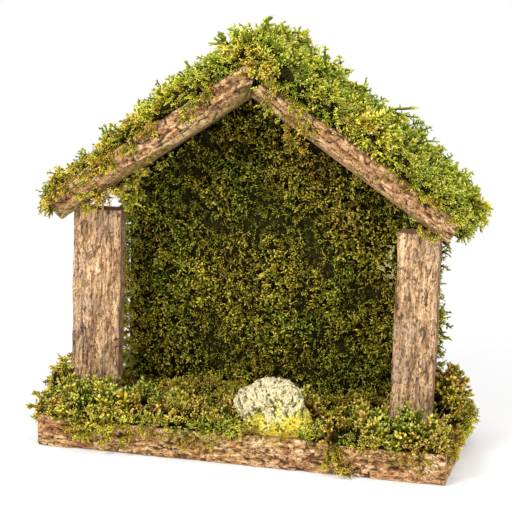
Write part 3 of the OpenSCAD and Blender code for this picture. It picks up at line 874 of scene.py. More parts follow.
@dataclass
class BarkSlab:
    """One slab split from a bark-covered log: sawn back and ends, furrowed face, broken edges.

    The face falls away by a share of the thickness at its low and high edges, as it does in the
    source. Its broken sides show chips, and layers of wood that run along the grain.
    """

    node: str
    place: Place
    length: float
    width: float
    thick: float
    relief: BarkRelief
    seed: int
    low_share: float = 0.2
    high_share: float = 0.2
    narrow_share: float = 0.0
    waney: float = 0.8
    round_mm: float = 1.4
    step_mm: float = 0.65
    end: EndCut = EndCut.SQUARE
    ceiling: Callable[[Array], Array] | None = None
    algae: float = 0.0
    wave_mm: float = 19.0
    chip_mm: float = 5.0
    layer_mm: float = 30.0

    def edge_of(self, s: Array, high: bool) -> Array:
        """Waney edge of the slab.

        Args:
            s: shares of the slab's length.
            high: whether it is the high edge.

        Returns:
            Place of the edge across the slab in mm.
        """
        wave = swell(s * self.length / self.wave_mm, 0 * s, self.seed + (21 if high else 22), 3)
        if not high:
            return self.waney * wave
        narrow = 1 - self.narrow_share * np.maximum(0, 2.5 * s - 1.5)
        return self.width * narrow + self.waney * wave

    def reach(self, t: Array) -> Array:
        """Length of the slab.

        Args:
            t: shares of its width.

        Returns:
            One length in mm for each share.
        """
        if self.end is EndCut.SQUARE:
            return self.length + 0 * t
        chips = 0.9 * swell(t * 6, 0 * t, self.seed + 51, 2)
        tip = 0.6 * self.width
        slanted = self.length - tip + tip * np.minimum(1, 2 * t)
        return slanted - 0.8 * np.maximum(0, 2 * t - 1) + chips

    def face(self) -> tuple[Array, Array, Array, Array, Array]:
        """Places of the bark face, one row for each station along the grain.

        Returns:
            Arrays u, v and w in mm, the painted shade of its cracks, and the flake's tone with its
            painted highlight.
        """
        s = np.linspace(0, 1, max(8, int(self.length / self.step_mm)) + 1)[:, None]
        t = np.linspace(0, 1, max(10, int(self.width / self.step_mm)) + 1)[None, :]
        low, high = self.edge_of(s, False), self.edge_of(s, True)
        v = low + (high - low) * t
        u = s * self.reach(v / self.width) + 0 * t
        fall = self.low_share * np.maximum(0, 1 - 2 * t) ** 2.5
        fall = fall + self.high_share * np.maximum(0, 2 * t - 1) ** 3
        height, dark, tone = self.relief.heights(u, v, self.seed)
        near = np.minimum(t, 1 - t) * (high - low)
        corner = np.clip(1 - near / self.round_mm, 0, 1)
        rounding = self.round_mm * (1 - np.sqrt(1 - corner**2))
        w = np.maximum(self.thick * (1 - fall) + height - rounding, 0.25 * self.thick)
        return u, v, w, dark, tone

    def side(self, column: int, u: Array, v: Array, w: Array) -> tuple[Array, ...]:
        """One broken side of the slab, from its face down to its back.

        Args:
            column: which column of the face it starts from, 0 or -1.
            u: the face's places along the grain.
            v: the face's places across it.
            w: the face's places out from the back.

        Returns:
            Arrays u, v and w in mm, painted shade in its hollows, and the tone, in the order from
            face to back.
        """
        k = np.linspace(0, 1, max(5, int(self.thick / 1.1)) + 1)[None, 1:]
        w_side = w[:, [column]] * (1 - k)
        u_side = u[:, [column]] + 0 * k
        rough = swell(u_side / self.chip_mm, w_side / 2.4, self.seed + 31 + column, 3)
        layer = swell(u_side / self.layer_mm, w_side / 1.6, self.seed + 41 + column, 2)
        push = (0.55 * rough + 0.45 * layer) * np.minimum(1, 2.5 * k) * np.minimum(1, 6 * (1 - k))
        v_side = v[:, [column]] + (push if column else -push)
        # Painted shade: the broken side is darker where it is chipped in.
        dark = np.clip(0.35 - 0.6 * rough, 0, 1) + 0 * k
        return u_side, v_side, w_side, dark, 0.3 + 0 * dark

    def stations(self) -> tuple[Array, ...]:
        """Places of the whole skin, one ring for each station along the grain.

        Returns:
            Arrays u, v and w in mm, how dark, and the tone.
        """
        face = self.face()
        u, v, w = face[:3]
        high = self.side(-1, u, v, w)
        low = tuple(part[:, ::-1] for part in self.side(0, u, v, w))
        k = np.linspace(0, 1, 9)[None, 1:-1]
        back_u = u[:, [-1]] * (1 - k) + u[:, [0]] * k
        back_v = v[:, [-1]] * (1 - k) + v[:, [0]] * k
        back = (back_u, back_v, 0 * back_u, 0.1 + 0 * back_u, 0.5 + 0 * back_u)
        return tuple(np.concatenate(parts, axis=1) for parts in zip(face, high, back, low))

    def build(self, finish: bpy.types.Material) -> bpy.types.Object:
        """Builds the slab as one closed mesh and lets it stand for its CAD node.

        Args:
            finish: its bark.

        Returns:
            The new piece.
        """
        u, v, w, dark, tone = self.stations()
        rows, ring = u.shape
        number, skin = tube(rows, ring)
        quads, tris = [skin], []
        places = [np.stack([u, v, w], -1).reshape(-1, 3)]
        # A row of values says how dark its painted shade is, its tone with the painted highlight,
        # and whether it is sawn.
        values = [np.stack([dark, tone, 0 * tone], -1).reshape(-1, 3)]
        total = rows * ring
        for end in (0, rows - 1):
            previous, outline = number[end], places[0][number[end]]
            middle = outline.mean(0)
            # Rings between the outline and the middle, at these shares, let the end be rough.
            for share in (0.12, 0.4, 0.7):
                inner = outline + (middle - outline) * share
                rough = swell(inner[:, 1] / 2.5, inner[:, 2] / 2.5, self.seed + 61 + end, 2)
                inner[:, 0] += (0.25 * rough if end else -0.25 * rough) * share
                current = np.arange(total, total + ring)
                total += ring
                places.append(inner)
                shaded = 0.3 * dark[end] * (1 - share)
                values.append(np.stack([shaded, tone[end], np.ones(ring)], -1))
                corners = (previous, current, np.roll(current, -1), np.roll(previous, -1))
                step = np.stack(corners, -1)
                quads.append(step if end else step[:, ::-1])
                previous = current
            places.append(middle[None])
            values.append(np.array([[0.0, 0.5, 1.0]]))
            fan = np.stack([previous, np.full(ring, total), np.roll(previous, -1)], -1)
            tris.append(fan if end else fan[:, ::-1])
            total += 1
        local = np.concatenate(places)
        points = self.place.points(local[:, 0], local[:, 1], local[:, 2])
        points[:, 2] = np.maximum(points[:, 2], 0.0)
        if self.ceiling is not None:
            points[:, 2] = np.minimum(points[:, 2], self.ceiling(points[:, 0]))
        faces = turned_out(points, np.concatenate(quads), np.concatenate(tris))
        # Algae grows in patches along the slab's low edge.
        patch = swell(local[:, 0] / 14, local[:, 2] / 5, 77)
        low = np.clip(1.3 - local[:, 1] / (0.3 * self.width) + patch, 0, 1)
        furrow, tone, sawn = np.concatenate(values).T
        furrow = np.clip(furrow, 0, 1)
        marks = {"grain": local * MM, "furrow": furrow, "tone": tone, "sawn": sawn}
        marks["algae"] = self.algae * low
        piece = make_object(self.node + "_bark", points, faces, marks)
        return finish_piece(piece, Slot.BARK, finish, self.node)


# Sprigs of moss


@dataclass
class SprigMaker:
    """Builds the few sprigs that all the moss repeats, each 1 unit long and a few dozen faces.

    No stem runs along the askew way, so the sides of each can be turned from it.
    """

    stem_r: float = 0.055
    branch_r: float = 0.054
    seed: int = 5
    askew: Triple = (0.31, 0.87, 0.38)
    _points: list[Array] = field(default_factory=list)
    _faces: list[tuple[int, int, int]] = field(default_factory=list)
    _tips: list[float] = field(default_factory=list)

    def spindle(self, path: Sequence[Array], radii: Sequence[float], tips: Sequence[float]) -> None:
        """Adds a three-sided stem, closed to a point at both ends.

        Args:
            path: its points from foot to tip.
            radii: its radius at each point between the ends.
            tips: the "tip" mark at each point.
        """
        start = len(self._points)
        way = (path[-1] - path[0]) / np.linalg.norm(path[-1] - path[0])
        side = np.cross(way, self.askew)
        side = side / np.linalg.norm(side)
        other = np.cross(way, side)
        self._points.append(path[0])
        self._tips.append(tips[0])
        for point, radius, tip in zip(path[1:-1], radii, tips[1:-1]):
            for k in range(3):
                angle = 2 * math.pi * k / 3
                ring = radius * (math.cos(angle) * side + math.sin(angle) * other)
                self._points.append(point + ring)
                self._tips.append(tip)
        self._points.append(path[-1])
        self._tips.append(tips[-1])
        last = len(self._points) - 1
        for k in range(3):
            n = (k + 1) % 3
            self._faces.append((start, start + 1 + n, start + 1 + k))
            for a in range(start + 1, last - 3, 3):
                self._faces.append((a + k, a + n, a + 3 + n))
                self._faces.append((a + k, a + 3 + n, a + 3 + k))
            self._faces.append((last - 3 + k, last - 3 + n, last))

    @staticmethod
    def stem(z: float, tilt: float, lean: float) -> Array:
        """Place on a stem that leans over as it grows.

        Args:
            z: share of its length.
            tilt: how far it stands aslant from its foot.
            lean: how far it bends over.

        Returns:
            The place.
        """
        x, y = tilt * z + lean * z * z, 0.05 * math.sin(5 * z)
        return np.array([x, y, z * (1 - 0.35 * lean * z)])

    def sprig(self, name: str, habit: Habit, branches: int) -> bpy.types.Object:
        """Builds one sprig that grows up Z from the origin.

        Args:
            name: name of the object.
            habit: how it grows.
            branches: how many side branches it has.

        Returns:
            The sprig's object.
        """
        self._points, self._faces, self._tips = [], [], []
        rng = np.random.default_rng(self.seed + 97 * list(Habit).index(habit) + branches)
        leans = {
            Habit.FROND: 0.3, Habit.CORAL: 0.14, Habit.FORK: 0.2, Habit.CURL: 0.6, Habit.TUFT: 0.15,
        }
        lean = leans[habit]
        tilts = {Habit.FORK: (-0.3, 0.4), Habit.TUFT: (-0.6, 0.05, 0.65)}.get(habit, (0.0,))
        for number, tilt in enumerate(tilts):
            reach = 1.0 - 0.16 * number
            path = [self.stem(z * reach, tilt, lean) for z in (0.0, 0.4, 0.86, 1.0)]
            self.spindle(path, (self.stem_r, 0.9 * self.stem_r), (0.0, 0.3, 0.66, 1.0))
            share = branches // len(tilts)
            for k in range(share):
                z = reach * (0.22 + 0.68 * (k + 0.5) / share)
                root = self.stem(z, tilt, lean)
                flat = habit in (Habit.FROND, Habit.CURL)
                angle = math.pi * k + math.pi / 2 if flat else 2.4 * k + number
                angle += rng.normal(0, 0.3)
                size = (0.32 - 0.15 * z) * rng.uniform(0.65, 1.3)
                out = np.array([math.cos(angle), math.sin(angle), 0.0])
                near = root + size * (0.62 * out + np.array([0, 0, 0.22]))
                end = root + size * (0.9 * out + np.array([0, 0, 0.62]))
                path = [root - 0.03 * out, near, end]
                self.spindle(path, (self.branch_r,), (0.1 + 0.5 * z, 0.5 + 0.4 * z, 1.0))
        marks = {"tip": np.clip(np.array(self._tips), 0, 1)}
        return make_object(name, np.array(self._points), [np.array(self._faces)], marks)

    def collection(self, name: str, branches: int, habits: Sequence[Habit]) -> bpy.types.Collection:
        """Builds a collection of sprigs.

        Args:
            name: name of the collection.
            branches: side branches on each sprig.
            habits: which habits it holds.

        Returns:
            The collection, linked to the scene.
        """
        return gathered(name, [self.sprig(f"{name}_{h.value}", h, branches) for h in habits])


def gathered(name: str, items: Sequence[bpy.types.Object]) -> bpy.types.Collection:
    """Moves objects into a new collection.

    Args:
        name: name of the collection.
        items: the objects, linked to the scene.

    Returns:
        The collection, linked to the scene.
    """
    group = bpy.data.collections.new(name)
    bpy.context.scene.collection.children.link(group)
    for item in items:
        bpy.context.scene.collection.objects.unlink(item)
        group.objects.link(item)
    return group


def discard(group: bpy.types.Collection) -> None:
    """Removes a collection of sprigs or grains that has been used.

    Args:
        group: the collection.
    """
    for item in list(group.objects):
        bpy.data.objects.remove(item)
    bpy.data.collections.remove(group)


@dataclass(frozen=True)
class Planting:
    """How one layer of sprigs is planted on a bed.

    The density is per square centimetre. Each sprig grows along the bed's normal, strayed from it
    by the scatter and leaned by the lean share, and its length varies by the spread.
    """

    length: float
    density: float
    lean: Triple
    lean_share: float
    scatter: float
    spread: float
    stock: Stock = Stock.LONG

    def values(
        self, sprigs: bpy.types.Collection, seed: int, finish: bpy.types.Material
    ) -> dict[str, Any]:
        """Values for the inputs of the planting tree.

        Args:
            sprigs: what is planted.
            seed: which of the patterns.
            finish: the sprigs' material.

        Returns:
            One value for each named input.
        """
        return {
            "Sprigs": sprigs, "Density per m2": self.density * CM2_IN_M2,
            "Length": self.length * MM, "Spread": self.spread, "Scatter": self.scatter,
            "Lean": self.lean, "Lean share": self.lean_share, "Seed": seed, "Finish": finish,
        }


@dataclass
class SprigField:
    """Geometry Nodes tree that plants sprigs over a bed, or on the points of a mesh.

    The bed's marks "cover" and "grow" thin the sprigs out and shorten them, and "dry" is handed
    on to them. On points, "way" is the way that each sprig grows. The tree ends in real geometry
    with its material set.
    """

    name: str = "planted sprigs"
    on_points: bool = False
    tree: Any = None
    sockets: dict[str, Any] = field(default_factory=dict)

    def __post_init__(self) -> None:
        """Builds the tree."""
        self.tree = bpy.data.node_groups.new(self.name, "GeometryNodeTree")
        kinds = {
            "Bed": "Geometry", "Sprigs": "Collection", "Density per m2": "Float", "Length": "Float",
            "Spread": "Float", "Lean": "Vector", "Lean share": "Float", "Scatter": "Float",
            "Seed": "Int", "Finish": "Material",
        }
        plug = self.tree.interface.new_socket
        for label, kind in kinds.items():
            self.sockets[label] = plug(name=label, in_out="INPUT", socket_type="NodeSocket" + kind)
        plug(name="Moss", in_out="OUTPUT", socket_type="NodeSocketGeometry")
        add = partial(add_node, self.tree)
        given = add("NodeGroupInput", {}).outputs
        mark = "GeometryNodeInputNamedAttribute"
        if self.on_points:
            points = given["Bed"]
            normal = add(mark, {"Name": "way"}, data_type="FLOAT_VECTOR").outputs[0]
        else:
            cover = add(mark, {"Name": "cover"}, data_type="FLOAT")
            density = {0: cover, 1: given["Density per m2"]}
            spread = add(
                "GeometryNodeDistributePointsOnFaces",
                {
                    "Mesh": given["Bed"],
                    "Density": add("ShaderNodeMath", density, operation="MULTIPLY"),
                    "Seed": given["Seed"],
                },
                distribute_method="RANDOM",
            )
            points, normal = spread.outputs["Points"], spread.outputs["Normal"]
        size = self.drawn_by_lot(given, Draw.SIZE, -1.0, 1.0)
        varied = {0: size, 1: given["Spread"], 2: 1.0}
        length = add("ShaderNodeMath", varied, operation="MULTIPLY_ADD")
        grow = add(mark, {"Name": "grow"}, data_type="FLOAT")
        for factor in (grow, given["Length"]):
            length = add("ShaderNodeMath", {0: length, 1: factor}, operation="MULTIPLY")
        numbers = {4: 0, 5: 99, "Seed": given["Seed"]}
        choice = add("FunctionNodeRandomValue", numbers, data_type="INT")
        stock = add(
            "GeometryNodeCollectionInfo",
            {"Collection": given["Sprigs"], "Separate Children": True, "Reset Children": True},
        )
        planted = add(
            "GeometryNodeInstanceOnPoints",
            {
                "Points": points,
                "Instance": stock,
                "Pick Instance": True,
                "Instance Index": choice.outputs[2],
                "Rotation": self.growing_way(given, normal),
                "Scale": length,
            },
        )
        kind = self.drawn_by_lot(given, Draw.KIND, 0.0, 1.0)
        marked = add(
            "GeometryNodeStoreNamedAttribute",
            {"Geometry": planted, "Name": "kind", "Value": kind},
            data_type="FLOAT",
            domain="INSTANCE",
        )
        real = add("GeometryNodeRealizeInstances", {"Geometry": marked})
        done = add("GeometryNodeSetMaterial", {"Geometry": real, "Material": given["Finish"]})
        add("NodeGroupOutput", {0: done})

    def drawn_by_lot(self, given: Any, draw: Draw, low: float, high: float) -> Any:
        """Adds a random number for each sprig.

        Args:
            given: the tree's inputs.
            draw: which of its random numbers.
            low: least value.
            high: greatest value.

        Returns:
            The value's socket.
        """
        own = {0: given["Seed"], 1: float(draw.value)}
        seed = add_node(self.tree, "ShaderNodeMath", own, operation="ADD")
        limits = {2: low, 3: high, "Seed": seed}
        return add_node(self.tree, "FunctionNodeRandomValue", limits, data_type="FLOAT").outputs[1]

    def growing_way(self, given: Any, normal: Any) -> Any:
        """Adds the nodes that turn each sprig: along the normal, strayed, leaned and spun.

        Args:
            given: the tree's inputs.
            normal: socket of the way that it would grow by itself.

        Returns:
            The node that gives its rotation.
        """
        add = partial(add_node, self.tree)
        corners = {0: (-1.0, -1.0, -1.0), 1: (1.0, 1.0, 1.0), "Seed": given["Seed"]}
        stray = add("FunctionNodeRandomValue", corners, data_type="FLOAT_VECTOR")
        way = normal
        for part, share in ((stray, given["Scatter"]), (given["Lean"], given["Lean share"])):
            scaled = add("ShaderNodeVectorMath", {0: part, "Scale": share}, operation="SCALE")
            way = add("ShaderNodeVectorMath", {0: way, 1: scaled}, operation="ADD")
        aligned = add("FunctionNodeAlignRotationToVector", {"Vector": way}, axis="Z")
        angle = self.drawn_by_lot(given, Draw.SPIN, 0.0, 2 * math.pi)
        spun = add("FunctionNodeAxisAngleToRotation", {"Axis": (0, 0, 1), "Angle": angle})
        turns = {"Rotation": aligned, "Rotate By": spun}
        return add("FunctionNodeRotateRotation", turns, rotation_space="LOCAL")

    def plant(
        self, name: str, bed: bpy.types.Object, values: Mapping[str, Any]
    ) -> bpy.types.Object:
        """Plants the sprigs and gives them back as a plain mesh.

        Args:
            name: name of the new piece.
            bed: the mesh that they grow on.
            values: what each named input of the tree is set to.

        Returns:
            The new object.
        """
        soil = linked(name + "_soil", bed.data.copy())
        modifier = soil.modifiers.new("moss", "NODES")
        modifier.node_group = self.tree
        for label, value in values.items():
            modifier[self.sockets[label].identifier] = value
        graph = bpy.context.evaluated_depsgraph_get()
        mesh = bpy.data.meshes.new_from_object(soil.evaluated_get(graph), depsgraph=graph)
        bpy.data.objects.remove(soil)
        mesh.name = name
        return linked(name, mesh)


# Moss on the boards


@dataclass(frozen=True)
class Growth:
    """Where a mat is thick, long, dry or bare.

    dry is how straw-coloured it is all over, and dry_front how much more so at its front edge,
    where y falls below front_y; its dry patches are some patch_mm across. thin says how unevenly
    it is covered and least the share that is left, swing how unevenly long its sprigs are, heave
    how far its bed rises and falls, and tuft how strongly its tufts show. Places that face the
    board more than shut bear no sprigs.
    Each spot is a place x and y, a radius and a dryness of its own, and each bare place is an x, a
    y and a radius within which few sprigs grow. The foot is a way across, a way up and a level:
    below that level the sprigs are short. The eave is two distances from the middle, between which
    they shorten, and the share that is left.
    """

    dry: float = 0.0
    dry_front: float = 0.0
    front_y: float = -62.0
    patch_mm: float = 18.0
    thin: float = 1.5
    least: float = 0.12
    swing: float = 0.45
    shut: float = -0.85
    heave: float = 0.6
    tuft: float = 1.0
    foot: Triple | None = None
    eave: Triple | None = None
    spots: tuple[tuple[float, float, float, float], ...] = ()
    bare: tuple[Triple, ...] = ()
    tuft_mm: float = 7.0
    cover_mm: float = 12.0
    length_mm: float = 20.0

    def tufts(self, p: Array, seed: int) -> Array:
        """How far each place is up on a tuft, the tufts being about tuft_mm across.

        Args:
            p: places in mm, one row each.
            seed: which of the patterns.

        Returns:
            One value in about -1 to 1 for each place.
        """
        return self.tuft * lumps(p, self.tuft_mm, seed + 6)

    def taper(self, p: Array) -> Array:
        """The share of its height and length that the moss keeps towards the eave.

        Args:
            p: places in mm, one row each.

        Returns:
            One share for each place.
        """
        start, end, left = self.eave or (0.0, 1.0, 1.0)
        return 1 - (1 - left) * ease(np.abs(p[:, 0]), start, end)

    def marks(self, p: Array, up: Array, seed: int) -> dict[str, Array]:
        """Works out the bed's marks.

        Args:
            p: places in mm, one row each.
            up: how far each place faces away from the board, -1 to 1.
            seed: which of the patterns.

        Returns:
            The marks "cover", "grow" and "dry".
        """
        tufts = self.tufts(p, seed)
        cover = ease(up, self.shut, self.shut + 0.3) * np.clip(
            1 + self.thin * lumps(p, self.cover_mm, seed + 1) + 1.6 * tufts, self.least, 2.6
        )
        uneven = 1.5 * lumps(p, self.length_mm, seed + 2) + tufts
        grow = np.clip(1 + self.swing * uneven, 0.55, 1.35)
        grow = grow * (0.7 + 0.3 * ease(up, 0.0, 0.6))
        part = self.taper(p)
        if self.foot is not None:
            across, upwards, level = self.foot
            low = 0.45 + 0.55 * ease(across * p[:, 0] + upwards * p[:, 2], level, level + 8)
            part = np.minimum(part, low)
        grow = grow * part
        dry = self.dry + 0.42 * lumps(p, self.patch_mm, seed + 3)
        dry = dry + self.dry_front * ease(-p[:, 1], -self.front_y - 12, -self.front_y)
        for x, y, radius, amount in self.spots:
            near = 1 - ease(np.hypot(p[:, 0] - x, p[:, 1] - y), 0.4 * radius, radius)
            dry = dry * (1 - near) + amount * near
        for x, y, radius in self.bare:
            far = ease(np.hypot(p[:, 0] - x, p[:, 1] - y), 0.5 * radius, radius)
            cover = cover * (0.15 + 0.85 * far)
        return {"cover": cover, "grow": grow, "dry": dry}


@dataclass
class MossMat:
    """One mat of moss: a bed in its CAD solid, dark as painted shade, and layers of sprigs planted
    on it.

    A loose clump is thin enough to show the bark behind it, so its bed is taken away again. The
    stop is a way and a distance in mm along it, past which the bed is drawn back. A bed with a
    press is pressed towards the board by that share of its height, which folds none of its faces
    however deep it goes; the others are drawn in by the inset along their normals.
    """

    node: str
    away: Triple
    inset: float
    layers: tuple[Planting, ...]
    seed: int
    growth: Growth
    sprigs: MossFinish
    loose: bool = False
    stop: tuple[Triple, float] | None = None
    press: float = 0.0
    rough_mm: float = 5.0
    heave_mm: float = 15.0

    def bed(self, finish: bpy.types.Material) -> bpy.types.Object:
        """Builds the bed from a copy of the CAD solid, drawn in and roughened.

        Args:
            finish: its material.

        Returns:
            The bed, which stands for the CAD node unless the clump is loose.
        """
        source = frame["nodes"][self.node].data
        apart = places_of(source).astype(float)
        key = np.round(apart / (MERGED_MM * MM)).astype(np.int64)
        _, first, index = np.unique(key, axis=0, return_index=True, return_inverse=True)
        source.calc_loop_triangles()
        corners = np.zeros(len(source.loop_triangles) * 3, np.int32)
        source.loop_triangles.foreach_get("vertices", corners)
        tris = index.reshape(-1)[corners.reshape(-1, 3)]
        tris = tris[np.all(tris != np.roll(tris, 1, axis=1), axis=1)]
        points, tris = self.halved(apart[first], tris)
        normals = self.normals(points, tris)
        up = normals @ np.array(self.away)
        p = points / MM
        if self.press:
            inner = self.pressed(p) * MM
        else:
            draw = self.inset * np.clip(1 + self.rough(p), 0.6, 2.0) * ease(up, -0.9, -0.4)
            inner = points - normals * draw[:, None] * MM
        if self.stop is not None:
            way, level = np.array(self.stop[0]), self.stop[1] * MM
            inner = inner - 0.8 * np.maximum(inner @ way - level, 0)[:, None] * way
        marks = self.growth.marks(p, up, self.seed)
        piece = make_object(self.node + "_bed", inner, [tris], marks)
        return piece if self.loose else finish_piece(piece, Slot.MOSS, finish, self.node)

    def rough(self, p: Array) -> Array:
        """How much deeper than its inset the bed lies at each place, as a share of it.

        Args:
            p: places in mm, one row each.

        Returns:
            One share for each place, less than 0 on a tuft.
        """
        heave = self.growth.heave * 1.4 * lumps(p, self.heave_mm, self.seed + 5)
        rough = 0.5 * lumps(p, self.rough_mm, self.seed) + heave
        return rough - 0.7 * self.growth.tufts(p, self.seed)

    def pressed(self, p: Array) -> Array:
        """Presses places towards the board, and in from the front and the back by the inset.

        Args:
            p: places in mm, one row each.

        Returns:
            The pressed places.
        """
        away = np.array(self.away)
        height = p @ away
        height = (height - height.min())[:, None]
        floor = p - height * away
        share = self.press * np.clip(1 + self.rough(floor), 0.5, 1.7)
        kept = (1 - share) * self.growth.taper(floor)
        inner = floor + height * kept[:, None] * away
        low, high = p[:, 1].min(), p[:, 1].max()
        inner[:, 1] = low + self.inset + (p[:, 1] - low) * (1 - 2 * self.inset / (high - low))
        return inner

    @staticmethod
    def halved(points: Array, tris: Array) -> tuple[Array, Array]:
        """Splits each triangle into four.

        Args:
            points: places of the vertices.
            tris: triangles of vertex numbers.

        Returns:
            The new vertices and triangles.
        """
        sides = np.sort(np.concatenate([tris[:, [0, 1]], tris[:, [1, 2]], tris[:, [2, 0]]]), axis=1)
        pairs, number = np.unique(sides, axis=0, return_inverse=True)
        number = number.reshape(3, -1) + len(points)
        middles = (points[pairs[:, 0]] + points[pairs[:, 1]]) / 2
        a, b, c = tris.T
        ab, bc, ca = number
        split = np.concatenate(
            [np.stack(f, -1) for f in ((a, ab, ca), (ab, b, bc), (ca, bc, c), (ab, bc, ca))]
        )
        return np.concatenate([points, middles]), split

    @staticmethod
    def normals(points: Array, tris: Array) -> Array:
        """Outward normals of the vertices of a closed mesh.

        Args:
            points: places of the vertices.
            tris: triangles of vertex numbers.

        Returns:
            One row of length 1 for each vertex.
        """
        a, b, c = (points[tris[:, k]] for k in range(3))
        flat_ways = np.cross(b - a, c - a)
        total = np.zeros_like(points)
        for k in range(3):
            np.add.at(total, tris[:, k], flat_ways)
        return total / np.maximum(np.linalg.norm(total, axis=1, keepdims=True), 1e-12)


@dataclass(frozen=True)
class Fringe:
    """A row of sprigs that hang or stand along an edge, clumped here and bare there."""

    start: Triple
    end: Triple
    count: int
    way: Triple
    length: float
    seed: int
    dry: float
    bare: float = -0.3
    jitter: Triple = (1.5, 0.8, 2.0)
    stray: float = 0.35
    clump_mm: float = 13.0
    length_mm: float = 17.0
    dry_mm: float = 20.0

    def rows(self) -> Array:
        """Places its sprigs.

        Returns:
            One row for each sprig: its foot in mm, its way, its length in mm and its dryness.
        """
        rng = np.random.default_rng(self.seed)
        s = np.sort(rng.uniform(0, 1, self.count))
        start, end = np.array(self.start), np.array(self.end)
        span = np.linalg.norm(end - start)
        thick = swell(s * span / self.clump_mm, 0 * s, self.seed, 2)
        s = s[thick > self.bare]
        count = len(s)
        feet = start + s[:, None] * (end - start) + rng.normal(0, 1, (count, 3)) * self.jitter
        ways = np.array(self.way) + rng.normal(0, self.stray, (count, 3))
        uneven = swell(s * span / self.length_mm, 0 * s, self.seed + 1, 2)
        lengths = self.length * (1 + 0.5 * uneven) * rng.uniform(0.65, 1.3, count)
        dry = self.dry + 0.4 * swell(s * span / self.dry_mm, 0 * s, self.seed + 2, 2)
        return np.column_stack([feet, ways, lengths, dry])


# Ways that a fringe grows: down over a rafter, out from a ledge, and forwards over its edge.
DOWN, OUT, OVER = (0.0, -0.55, -0.85), (0.0, -0.5, -0.75), (0.0, -0.7, 0.25)
# The fringes along the rafters, the eaves and the base, in the order they are planted.
FRINGES = (
    ((-154, -25.4, 172), (-32, -25.4, 257), 170, DOWN, 6.5, 301, 0.34, -0.3, (1.5, 0.8, 2.8)),
    ((-154, -25.4, 170), (-92, -25.4, 214), 70, DOWN, 9.0, 302, 0.45, -0.2, (2.0, 0.8, 3.5)),
    ((142, -25.4, 174), (18, -25.4, 256), 60, DOWN, 7.0, 303, 0.25, 0.0, (1.5, 0.8, 2.4)),
    ((-126, -24, 166), (-60, -24, 212), 70, (0.2, -0.4, -0.9), 7.0, 304, 0.35, -0.05),
    ((133, -24, 159), (40, -24, 220), 60, (-0.2, -0.4, -0.9), 6.5, 305, 0.1, 0.05),
    ((-8, -17, 281), (-8, 60, 281), 230, (0, -0.2, 1), 7.5, 324, 0.02, -1.0, (8, 2, 1.5), 0.7),
    ((-5, -22, 252), (12, -22, 250), 24, (0, -0.8, -0.3), 9.0, 315, 0.2, -1.0, (2, 1, 5)),
    ((-112, -65.3, 23), (8, -65.3, 23), 90, OUT, 6.5, 306, 0.42, -0.2, (1.5, 0.5, 1.5)),
    ((-142, -60, 25), (8, -62, 25), 190, OVER, 8.5, 316, 0.2, -0.6, (1.5, 1.5, 2.0)),
    ((52, -65.3, 23), (144, -65.3, 23), 45, OUT, 5.5, 307, 0.38, -0.1, (1.5, 0.5, 1.5)),
    ((52, -62, 25), (144, -59, 26), 90, OVER, 7.0, 317, 0.15, -0.5, (1.5, 1.5, 2.0)),
    ((-128, -65.6, 18), (-8, -65.6, 17), 170, OUT, 5.0, 308, 0.6, -0.15, (1.5, 0.3, 3.0)),
    ((-142, -21, 27), (-100, -21, 27), 60, (0, -0.3, 1), 10.0, 328, 0.05, -1.0, (2, 2, 2)),
    ((56, -65.6, 17), (128, -65.6, 17), 60, OUT, 5.0, 309, 0.55, 0.05, (1.5, 0.3, 3.0)),
    ((-8, -21, 266), (14, -21, 268), 34, (0, -0.8, 0.1), 9.5, 321, 0.25, -1.0, (2, 1, 5)),
    ((-112, 42, 26), (-112, 42, 190), 260, (-0.9, -0.5, 0.1), 7.5, 322, 0.0, -0.7, (1, 2, 3)),
    ((-109, 40, 26), (-109, 40, 190), 170, (-0.2, -1, 0.1), 7.5, 325, 0.0, -0.9, (1.5, 1, 3)),
    ((119, 44, 26), (119, 44, 178), 110, (0.8, -0.6, 0.1), 5.5, 323, 0.1, -0.6, (0.8, 2, 3)),
    ((-9, -60, 23), (12, -58, 23), 45, (-0.1, -0.5, 0.7), 9.0, 318, 0.1, -1.0, (2, 2.5, 1)),
    ((48, -60, 23), (55, -50, 23), 30, (0.1, -0.4, 0.9), 10.0, 319, 0.0, -1.0, (1.5, 2.5, 1)),
    ((8, -63, 22.5), (50, -63, 22.5), 40, (0, -0.7, 0.1), 5.0, 320, 0.3, 0.0, (2, 0.6, 0.5)),
    ((-145.4, -64, 21.5), (-145.4, 63, 21.5), 140, (-0.5, 0, -0.5), 6.5, 310, 0.3),
    ((145.4, -64, 21.5), (145.4, 63, 21.5), 140, (0.5, 0, -0.5), 6.5, 311, 0.3),
    ((-144, 65, 22), (144, 65, 22), 170, (0, 0.2, -0.5), 5.0, 312, 0.3),
    ((-155, -16, 174), (-155, 60, 172), 30, (-0.6, -0.1, -0.2), 5.0, 313, 0.1, -0.5),
    ((142, -20, 166), (142, 60, 166), 16, (0.3, -0.1, -0.9), 11.0, 314, 0.1, -0.4, (2, 1, 4)),
    ((-155, -14, 176), (-122, -14, 199), 80, (-0.2, -0.9, 0), 8.0, 326, 0.2, -1.0, (2, 2, 3)),
    ((122, -14, 190), (143, -14, 172), 70, (0.2, -0.9, 0), 8.0, 327, 0.1, -1.0, (2, 2, 3)),
)
